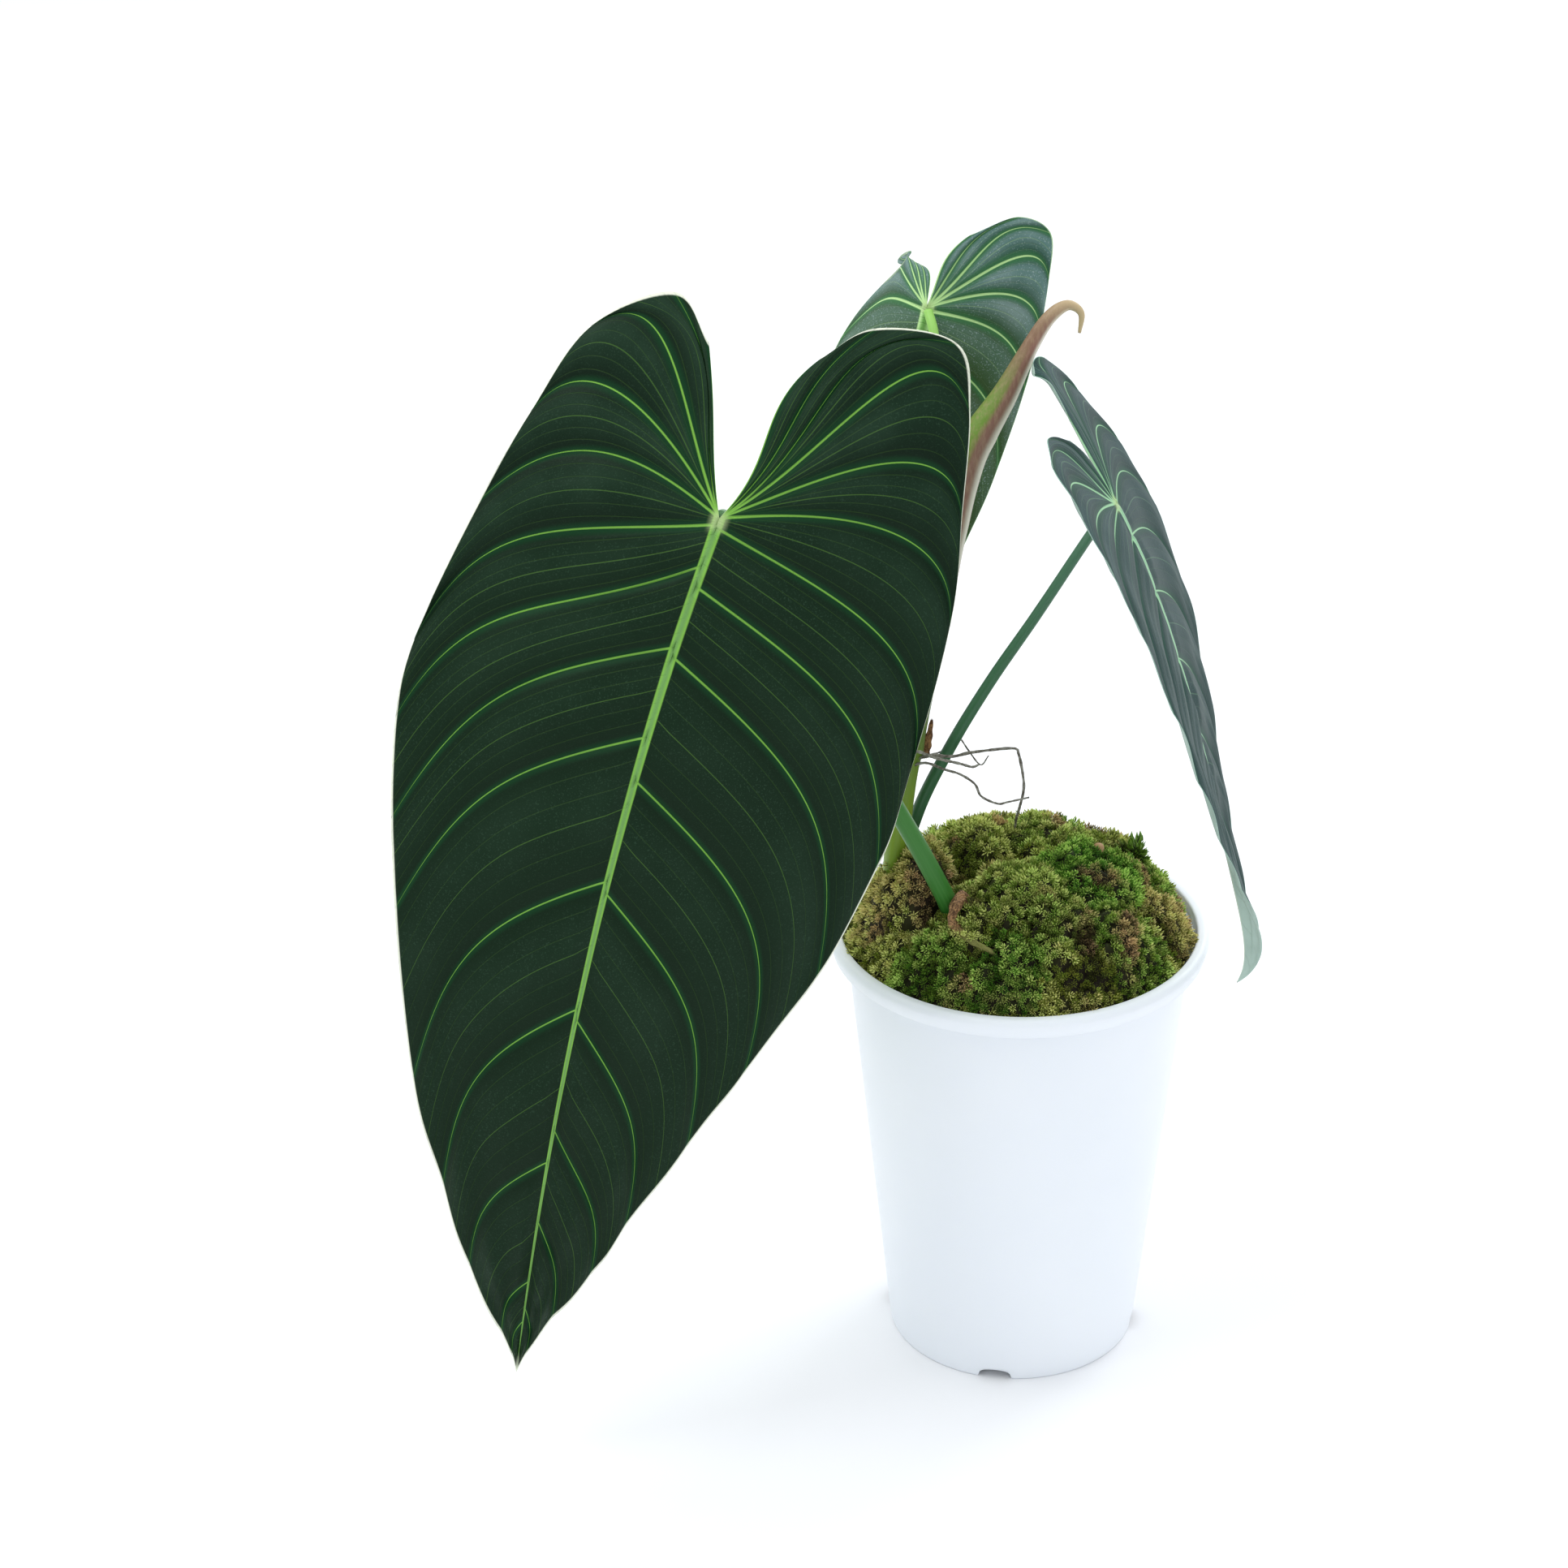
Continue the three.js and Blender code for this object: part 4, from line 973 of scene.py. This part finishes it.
# %% [markdown]
# ## Leaf finish
#
# The upper side is velvet: tiny dome-shaped cells that trap light, so the blade is nearly black
# green and hardly shines. A low specular level and a little sheen in the Principled shader do
# that. The main veins are sunk, smooth and yellow-green, widest at the midrib and narrower towards
# the margin, along which runs a pale, see-through line. The underside is smooth and pale. All of
# this follows the veins, not space, so it is drawn from the numbers kept in the mesh.


# %% Velvet leaf material
def line_on(add, rows, spacing, density, half_width):
    """1 on a vein and 0 beside it, and the distance to the vein. density is the number of such
    veins between two main ones, and half_width is in mm, a number or a socket."""
    place = add("Math", rows, density)
    nearest = add("Math", place, operation="ROUND")
    away = add("Math", add("Math", place, nearest, operation="SUBTRACT"), operation="ABSOLUTE")
    away = add("Math", add("Math", away, density, operation="DIVIDE"), spacing)
    width_share = add("Math", away, half_width, operation="DIVIDE")
    return add("MapRange", width_share, 0.45, 1.5, 1.0, 0.0), away


def leaf_velvet(name, deep, light, sheen_colour, tipward_tissue_and_shade, halo, vein, rib, margin, under, vein_width, margin_width):
    """Dark tissue, pale veins and a pale margin, placed by the numbers kept in the mesh. Tissue
    is lighter on the pillows' upper flanks, as painted light, with painted sheen and glints there;
    towards the tip it turns to one colour, on the back leaf a painted shade. All veins meet in a
    whitish spot over the stalk."""
    material, add = new_material(name)
    rank, share, rows, spacing, rib_gap, edge_gap, below = (
        add("Attribute", attribute_name=key, out="Fac")
        for key in ("rank", "share", "row", "spacing", "rib", "edge", "under")
    )
    place = add("TexCoord", out="Object")
    # Painted light and shade: each pillow is lighter on its upper flank, as if lit from above, and the deep
    # colour lies in the hollows.
    flank = add("Math", rows, operation="FRACT")
    lit_flank = add("Math", add("MapRange", flank, 0.0, 0.3), add("MapRange", flank, 0.35, 1.0, 1.0, 0.0))
    cloudy = add("MapRange", add("TexNoise", place, 1000 / 30, 3, 0.55), 0.35, 0.7)
    # Painted glints: fine specks of the sheen colour, strongest on the lit flanks.
    cell_glints = add("MapRange", add("TexNoise", place, 1000 / 0.55, 1, 0.5), 0.58, 0.72, 0.0, 0.55)
    cell_glints = add("Math", cell_glints, add("Math", lit_flank, 0.8, 0.2, operation="MULTIPLY_ADD"))
    tissue = add("Mix", lit_flank, deep, light)
    # Painted sheen: patches of the sheen colour on the lit flanks.
    tissue = add("Mix", add("Math", add("Math", cloudy, lit_flank), 0.45), tissue, sheen_colour)
    # Towards the tip the tissue turns to one colour; on the back leaf it is an olive painted shade, where
    # its lower part hangs in shadow.
    tissue = add("Mix", add("MapRange", rows, 3.2, 6.5, 0.0, 0.65), tissue, tipward_tissue_and_shade)
    tissue = add("Mix", cell_glints, tissue, sheen_colour)

    # Side veins: main ones, one between two of them, and six thin ones
    narrower = add("Math", share, 0.6, operation="POWER")
    width = add("Math", narrower, -0.6 * vein_width, vein_width, operation="MULTIPLY_ADD")
    width = add("Math", width, add("Math", rank, 0.4, 0.6, operation="MULTIPLY_ADD"))
    main, away = line_on(add, rows, spacing, 1, width)
    half_way, _ = line_on(add, rows, spacing, 2, 0.2)
    thin, _ = line_on(add, rows, spacing, 6, 0.18)
    tissue = add("Mix", add("Math", half_way, 0.13), tissue, vein)
    tissue = add("Mix", add("Math", thin, 0.05), tissue, vein)
    tissue = add("Mix", add("MapRange", away, 0.4, 3.2, 0.75, 0.0), tissue, halo)
    main = add("Math", main, add("MapRange", share, 0.75, 1.0, 1.0, 0.3))
    colour = add("Mix", main, tissue, vein)

    # Midrib, the spot over the stalk, the margin and the tip
    rib_width = add("Math", rank, 2.5 * vein_width, 0.7 * vein_width, operation="MULTIPLY_ADD")
    rib_share = add("Math", rib_gap, rib_width, operation="DIVIDE")
    rib_mask = add("MapRange", rib_share, 0.8, 1.15, 1.0, 0.0)
    rib_colour = add("Mix", add("MapRange", rib_share, 0.1, 0.9), rib, vein)
    colour = add("Mix", rib_mask, colour, rib_colour)
    near_rib = add("MapRange", rib_gap, 0.5, 3.0, 0.75, 0.0)
    colour = add("Mix", add("Math", add("MapRange", rank, 0.985, 0.996), near_rib), colour, "#bdd396")
    edge_mask = add("MapRange", edge_gap, margin_width, 2.2 * margin_width, 0.95, 0.0)
    colour = add("Mix", edge_mask, colour, margin)
    colour = add("Mix", add("MapRange", rank, 0.035, 0.005, 0.0, 0.7), colour, margin)

    # Underside
    lines = add("Math", main, rib_mask, operation="MAXIMUM")
    pale = add("Mix", add("Math", lines, 0.6), under, "#dfe9cf")
    pale = add("Mix", add("Math", cloudy, 0.3), pale, halo)
    colour = add("Mix", add("MapRange", below, 0.4, 0.6), colour, pale)
    smooth_parts = add("Math", lines, below, operation="MAXIMUM")
    fuzz = add("TexNoise", place, 1000 / 1.3, 3, 0.6)
    fuzz = add("Math", thin, -1.2, fuzz, operation="MULTIPLY_ADD")
    velvet = {
        "Base Color": colour,
        "Roughness": add("MapRange", smooth_parts, 0.0, 1.0, 0.5, 0.4),
        "Specular IOR Level": 0.1,
        "Sheen Weight": 0.05,
        "Sheen Roughness": 0.5,
        "Sheen Tint": sheen_colour,
        "Normal": add("Bump", {"Height": fuzz, "Distance": 0.2 / 1000, "Strength": 0.6}),
    }
    add("OutputMaterial", add("BsdfPrincipled", velvet))
    return material


# %% [markdown]
# The old leaf is nearly black with yellow-green veins. The back one is younger; its grey, and the
# dull blue-green of the right one, seen from low down, are the velvet's sheen, painted into their
# colours. Widths are in mm.

# %% Three velvets and the blades in place
old_velvet = leaf_velvet(
    "old_leaf_velvet",
    deep="#0b1f11", light="#142c1c", sheen_colour="#2f4836", tipward_tissue_and_shade="#102715", halo="#134324",
    vein="#83bd4f", rib="#74a55c", margin="#f6fae6", under="#6f8f62", vein_width=0.46,
    margin_width=0.6,
)
back_velvet = leaf_velvet(
    "back_leaf_velvet",
    deep="#274f3c", light="#5d7f79", sheen_colour="#a6b9bb", tipward_tissue_and_shade="#4a5f24", halo="#3f7a4a",
    vein="#c8f0a6", rib="#7fb562", margin="#b9d8a8", under="#8aa67c", vein_width=0.58,
    margin_width=0.25,
)
right_velvet = leaf_velvet(
    "right_leaf_velvet",
    deep="#1f3633", light="#2f4746", sheen_colour="#4b6264", tipward_tissue_and_shade="#2d4543", halo="#2f5546",
    vein="#a3d6a6", rib="#7fb48a", margin="#9cc2b0", under="#b2c8bd", vein_width=0.42,
    margin_width=0.25,
)

for name, node, leaf, velvet, slot_name, spacing in (
    ("front_blade", "front_leaf", FRONT_LEAF, old_velvet, "old_blade", 1.6),
    ("right_blade", "right_leaf", RIGHT_LEAF, right_velvet, "young_blade", 1.1),
    ("back_blade", "back_leaf", BACK_LEAF, back_velvet, "young_blade", 1.1),
):
    points, faces, values = blade_mesh(leaf, spacing, 52)
    make_piece(name, points, faces, velvet, node, values)

# %% [markdown]
# ## Stalks, stem and roots
#
# A leaf stalk is smooth and juicy, with faint streaks along it, and swells where it leaves the
# stem. A tube swept along the CAD's path has the right shape. The same tube, with other stops for
# its radius, makes the stem, the wiry roots and the rolled new leaf. The streaks are noise on two
# numbers kept in the mesh, the turn around the stalk and the way along it.


# %% Stalk material
def stalk_skin(name, foot, middle, top, streak):
    """Plant skin, waxy: colours run along the stalk, streaks follow it, broad soft highlight."""
    material, add = new_material(name)
    along, turn = (add("Attribute", attribute_name=key, out="Fac") for key in ("along", "turn"))
    colour = add("Mix", add("MapRange", along, 0.0, 0.5), foot, middle)
    colour = add("Mix", add("MapRange", along, 0.5, 1.0), colour, top)
    lines = add("TexNoise", add("CombineXYZ", add("Math", turn, 22), add("Math", along, 3)), 1, 3)
    colour = add("Mix", add("MapRange", lines, 0.45, 0.8, 0.0, 0.35), colour, streak)
    skin = {
        "Base Color": colour,
        "Roughness": 0.42,
        "IOR": 1.42,
        "Subsurface Weight": 0.06,
        "Subsurface Radius": (0.001, 0.002, 0.001),
        "Normal": add("Bump", {"Height": lines, "Distance": 0.12 / 1000, "Strength": 0.6}),
    }
    add("OutputMaterial", add("BsdfPrincipled", skin))
    return material


# The front stalk's dark foot is painted shade; it turns lighter grey-green towards the top.
front_skin = stalk_skin("front_stalk_skin", "#1c5f1c", "#3c7f2e", "#7fae7c", "#5f9a50")
right_skin = stalk_skin("right_stalk_skin", "#2c5538", "#3a6a48", "#47785a", "#55806a")
back_skin = stalk_skin("back_stalk_skin", "#5c8a34", "#7aae48", "#9ed66a", "#b0de86")
stem_skin = stalk_skin("main_stem_skin", "#8fa62e", "#7d9a2c", "#2c4a30", "#5e7f3a")

# %% Stalks in place
FRONT_STALK_PATH = [
    (-12, -16, 130), (-22.5, -23, 176), (-34.6, -31, 208.8), (-62, -40, 267), (-90, -43, 327),
    (-100, -52.5, 346), (-102, -61.5, 351),
]
RIGHT_STALK_PATH = [
    (-41, 9, 130), (-40, 6.5, 185), (-35.9, 3, 209), (-24.9, 0.5, 235.7), (-11.7, -3.5, 262.6),
    (2.8, -10, 290.1), (16.2, -19, 318.2), (22, -28.5, 333.5), (25.4, -31.8, 340.2),
]
BACK_STALK_PATH = [
    (-32.8, 8.4, 284.8), (-35.5, 11, 310), (-35, 14.5, 340), (-31.4, 20, 361), (-30.6, 26, 377),
    (-32.4, 32.6, 384.2),
]

for name, node, path, radii, skin in (
    ("front_petiole", "front_stalk", FRONT_STALK_PATH, (3.7, 3.4, 3.1, 2.8, 2.5), front_skin),
    ("right_petiole", "right_stalk", RIGHT_STALK_PATH, (2.6, 2.5, 2.2, 2.0, 1.8, 1.65), right_skin),
    ("back_petiole", "back_stalk", BACK_STALK_PATH, (2.2, 2.1, 2.0, 1.9, 1.8, 1.6), back_skin),
):
    points, faces, values = tube(path, radii)
    make_piece(name, points, faces, skin, node, values)

# %% Stem
STEM_PATH = [
    (-46, -6, 120), (-44.6, -4.5, 175), (-42, -2.5, 215), (-37, 1, 245), (-30, 6, 282),
    (-29.9, 6.3, 286.5),
]
STEM_RADII = (4.8, 4.75, 4.7, 4.6, 4.5, 4.4, 4.3, 4.2, 4.2, 4.2, 4.6, 4.4)


def stem_section(turn, t):
    """A round stem with two rings, swollen by a tenth, where old leaves stood."""
    rings = np.exp(-(((t - 0.69) / 0.022) ** 2)) + np.exp(-(((t - 0.96) / 0.03) ** 2))
    return 1 + 0.1 * rings + 0.02 * np.cos(6 * np.pi * turn)


points, faces, values = tube(STEM_PATH, STEM_RADII, 28, 160, stem_section)
make_piece("main_stem", points, faces, stem_skin, "stem", values)

# %% [markdown]
# Aerial roots are wires of cork: grey-brown, dry and a little uneven. They leave the stem at one
# node, and the longest drops into the moss. The four are thin tubes in one mesh. Their finish, and
# that of the brown sheaths further down, is dead plant fibre: no sap is left in it, so it is matt,
# papery and streaked.

# %% Aerial roots
ROOT_PATHS = [
    [(-40, -1.5, 231), (-32.3, -4, 234.6), (-24.2, -5, 234.8), (-17.6, -6, 236.8), (-3.9, -6, 238.2),
     (-1.6, -6, 235.9), (0.3, -5, 225.6), (0.4, -4, 219.9), (-0.5, 0, 212), (-1.2, 10, 200),
     (-1.2, 14, 186)],
    [(-40, -2, 229), (-33.8, -6, 232.9), (-27.2, -9, 231.8), (-21.9, -11, 230.9), (-16.9, -12, 227.6),
     (-14.6, -12, 222.8), (-8.9, -11, 219.3), (-5.2, -9.5, 219.1), (2.2, -8.5, 220.3)],
    [(-40, -2.5, 235), (-36.3, -6, 237.3), (-30.3, -9, 236.3), (-21.9, -10, 234.5), (-17.7, -9, 232.7),
     (-15.1, -8, 233.2)],
    [(-40, -1, 232), (-31.4, -1.5, 233.9), (-28.4, 3, 232.4), (-25.4, 6.5, 232.6), (-22.6, 7.5, 234.9),
     (-21, 6, 235.7), (-18.6, 2, 233.6), (-14.6, -4, 230.9), (-11.9, -5, 234.9)],
]
ROOT_RADII = (0.5, 0.42, 0.5, 0.3)


def dry_fibre(name, dark, light, size_mm, tail=None):
    """Dead fibre, mottled over size_mm. Its second half may have another colour."""
    material, add = new_material(name)
    mottled = add("TexNoise", add("TexCoord", out="Object"), 1000 / size_mm, 4, 0.65)
    colour = add("Mix", add("MapRange", mottled, 0.35, 0.65), dark, light)
    if tail:
        along = add("Attribute", attribute_name="along", out="Fac")
        colour = add("Mix", add("MapRange", along, 0.5, 0.65), colour, tail)
    creases = add("Bump", {"Height": mottled, "Distance": 0.25 / 1000})
    fibre = {"Base Color": colour, "Roughness": 0.8, "Normal": creases}
    add("OutputMaterial", add("BsdfPrincipled", fibre))
    return material


def knobs(turn, t):
    """Swellings of up to a fifth of the radius, at uneven distances."""
    return 1 + 0.18 * np.sin(37 * t) * np.sin(91 * t)


root_cork = dry_fibre("root_cork", "#5a544a", "#98958c", 1.6)
root_points, root_faces, count = [], [], 0
for path, radius in zip(ROOT_PATHS, ROOT_RADII):
    points, faces, _ = tube(path, (radius * 1.3, radius, radius, radius * 0.8), 8, 90, knobs)
    root_points.append(points)
    root_faces.append(faces + count)
    count += len(points)
make_piece("aerial_roots", np.vstack(root_points), np.vstack(root_faces), root_cork)

# %% [markdown]
# The dry pieces at the stem's node and at the front stalk's foot are what is left of old sheaths.
# The one at the foot has rolled up into a frayed curl, so it is a tube whose section is folded and
# turns on its way. The one at the node is still a strip that narrows upwards, a thin sheet.

# %% Dry curl
DRY_CURL_PATH = [
    (-19, -24, 184), (-21.1, -26.5, 190.6), (-23.8, -31.5, 191.2), (-25.1, -34.5, 187.1),
    (-23.2, -38, 184.5), (-18, -42.5, 182.4), (-11.9, -44.8, 179.5), (-9, -45.5, 176),
]
DRY_CURL_RADII = (1.0, 1.7, 1.9, 1.7, 0.9, 0.8, 0.4)


def frayed(turn, t):
    """A flattened, twisted strip with seven torn folds and a rough edge."""
    folds = 0.3 * np.cos(4 * np.pi * turn + 9 * t) + 0.22 * np.cos(14 * np.pi * turn + 25 * t)
    return 1 + folds + 0.2 * np.sin(60 * t) * np.sin(23 * t)


brown_bract = dry_fibre("frayed_bract", "#4f3320", "#b98d60", 0.9, tail="#8a8a4c")
points, faces, values = tube(DRY_CURL_PATH, DRY_CURL_RADII, 28, 120, frayed)
make_piece("dry_bract", points, faces, brown_bract, "dry_root", values)

# %% Node sheath
SHEATH_PATH = [(-34, 0.5, 231.5), (-32.6, 0.8, 238), (-31.3, 1.5, 246)]
SHEATH_WIDTH = 3.4  # mm, at its foot

rows, cols = 40, 14
t, w = np.meshgrid(np.linspace(0, 1, rows), np.linspace(-0.5, 0.5, cols), indexing="ij")
middle = smooth_rows(SHEATH_PATH, t[:, 0] * 2)[:, None]
width = SHEATH_WIDTH * (1 - 0.75 * t**2) * (1 + 0.12 * np.sin(23 * t))
bow = 0.25 * (w * width) ** 2
ripple = 0.4 * np.sin(14 * w) * t
upper = middle + np.stack([w * width, bow - 0.6 - 0.15 * np.sin(30 * w), ripple], -1)
lower = middle + np.stack([w * width, bow, ripple], -1)
faces = grid_faces(rows, cols)[:, ::-1]
points, faces = thick_sheet(upper.reshape(-1, 3), lower.reshape(-1, 3), faces)
brown_paper = dry_fibre("papery_sheath", "#5d3b22", "#b08355", 1.2)
make_piece("node_sheath", points, faces, brown_paper, "dry_sheath")

# %% [markdown]
# A bead of slow fertiliser lies on the moss: a ball of 4 mm with a matt resin coat. It isn't quite
# round, so the radius of a sphere is varied by a twentieth in three lumps around its waist.

# %% Fertiliser bead
BEAD_PLACE = (27.8, 4, 193)
BEAD_RADIUS = 2.0

bead, add = new_material("coated_fertiliser_bead")
speckle = add("TexNoise", add("TexCoord", out="Object"), 1000 / 1.5, 3, 0.55)
colour = add("Mix", speckle, "#8f6a42", "#c9a274")
add("OutputMaterial", add("BsdfPrincipled", {"Base Color": colour, "Roughness": 0.6}))
rows, cols = 25, 32
down = np.linspace(0, np.pi, rows)[:, None]
around = 2 * np.pi * np.arange(cols)[None, :] / cols
lump = BEAD_RADIUS + 0.12 * np.sin(3 * around) * np.sin(down) ** 2
east, north = np.sin(down) * np.cos(around), np.sin(down) * np.sin(around)
ball = np.stack([east, north, np.cos(down) + 0 * around], -1)
points = (BEAD_PLACE + lump[..., None] * ball).reshape(-1, 3)
kept, faces = weld(points, grid_faces(rows, cols, around=True))
make_piece("fertiliser_bead", points[kept], faces, bead, "pellet")

# %% [markdown]
# ## New leaf
#
# The youngest leaf is still rolled around itself like a paper spill, so a cut through it is a
# spiral: the radius falls evenly over one turn and jumps back at the free edge. A tube with that
# section is enough, because nothing of its inside shows. One side is green, the other, which was
# in the dark longest, is brownish pink, and the free edge is pale.

# %% Rolled leaf shape
NEW_LEAF_PATH = [
    (-27.9, 4.4, 284.8), (-25, 8, 312), (-19, 12, 340), (-7, 14, 362), (1.5, 17, 378),
    (7.5, 18.5, 387), (13.5, 20, 390.5), (18, 20, 387.6), (17.6, 19, 381),
]
NEW_LEAF_RADII = (2.2, 3.6, 4.4, 4.9, 5.0, 3.7, 2.5, 1.9, 0.5)
SEAM = 0.06  # where the free edge stands, as a share of a turn from the right side


def spiral(turn, t):
    """1 + 0.22 of the way round that is left, counted from the free edge."""
    return 1 + 0.22 * (1 - (turn - SEAM) % 1)


points, faces, values = tube(NEW_LEAF_PATH, NEW_LEAF_RADII, 48, 200, spiral)

# %% Rolled leaf finish
rolled, add = new_material("rolled_new_leaf")
turn, along = (add("Attribute", attribute_name=key, out="Fac") for key in ("turn", "along"))
place = add("TexCoord", out="Object")
fading = add("MapRange", along, 0.55, 0.78, 1.0, 0.1)
green_side = add("Math", add("MapRange", turn, 0.24, 0.31), fading)
colour = add("Mix", green_side, "#8f6657", "#76963c")
drawn_out = add("Mapping", {"Vector": place, "Scale": (3, 3, 0.6)})
streaks = add("MapRange", add("TexNoise", drawn_out, 1000 / 3, 3, 0.6), 0.4, 0.7, 0.0, 0.4)
colour = add("Mix", streaks, colour, "#b39678")
pale_edge = add("Math", add("MapRange", turn, 0.02, 0.1), add("MapRange", turn, 0.1, 0.2, 1.0, 0.0))
colour = add("Mix", pale_edge, colour, "#e2dccb")
colour = add("Mix", add("MapRange", along, 0.78, 0.98), colour, "#c9b58a")
grain = add("Bump", {"Height": add("TexNoise", place, 1000 / 0.8, 3, 0.55), "Distance": 0.1 / 1000})
add("OutputMaterial", add("BsdfPrincipled", {"Base Color": colour, "Roughness": 0.5, "Normal": grain}))
make_piece("rolled_leaf", points, faces, rolled, "new_leaf", values)

# %% [markdown]
# ## Sizes
#
# Both boxes, the CAD's and the dressed plant's, are printed. The dressed plant has to stay
# inside the CAD's box.

# %% Write the sizes and finish
dressed_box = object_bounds()
for box_name, box in (("CAD box   ", cad_box), ("visual box", dressed_box)):
    print(box_name, [np.round(np.array(c) * 1000, 1).tolist() for c in box])
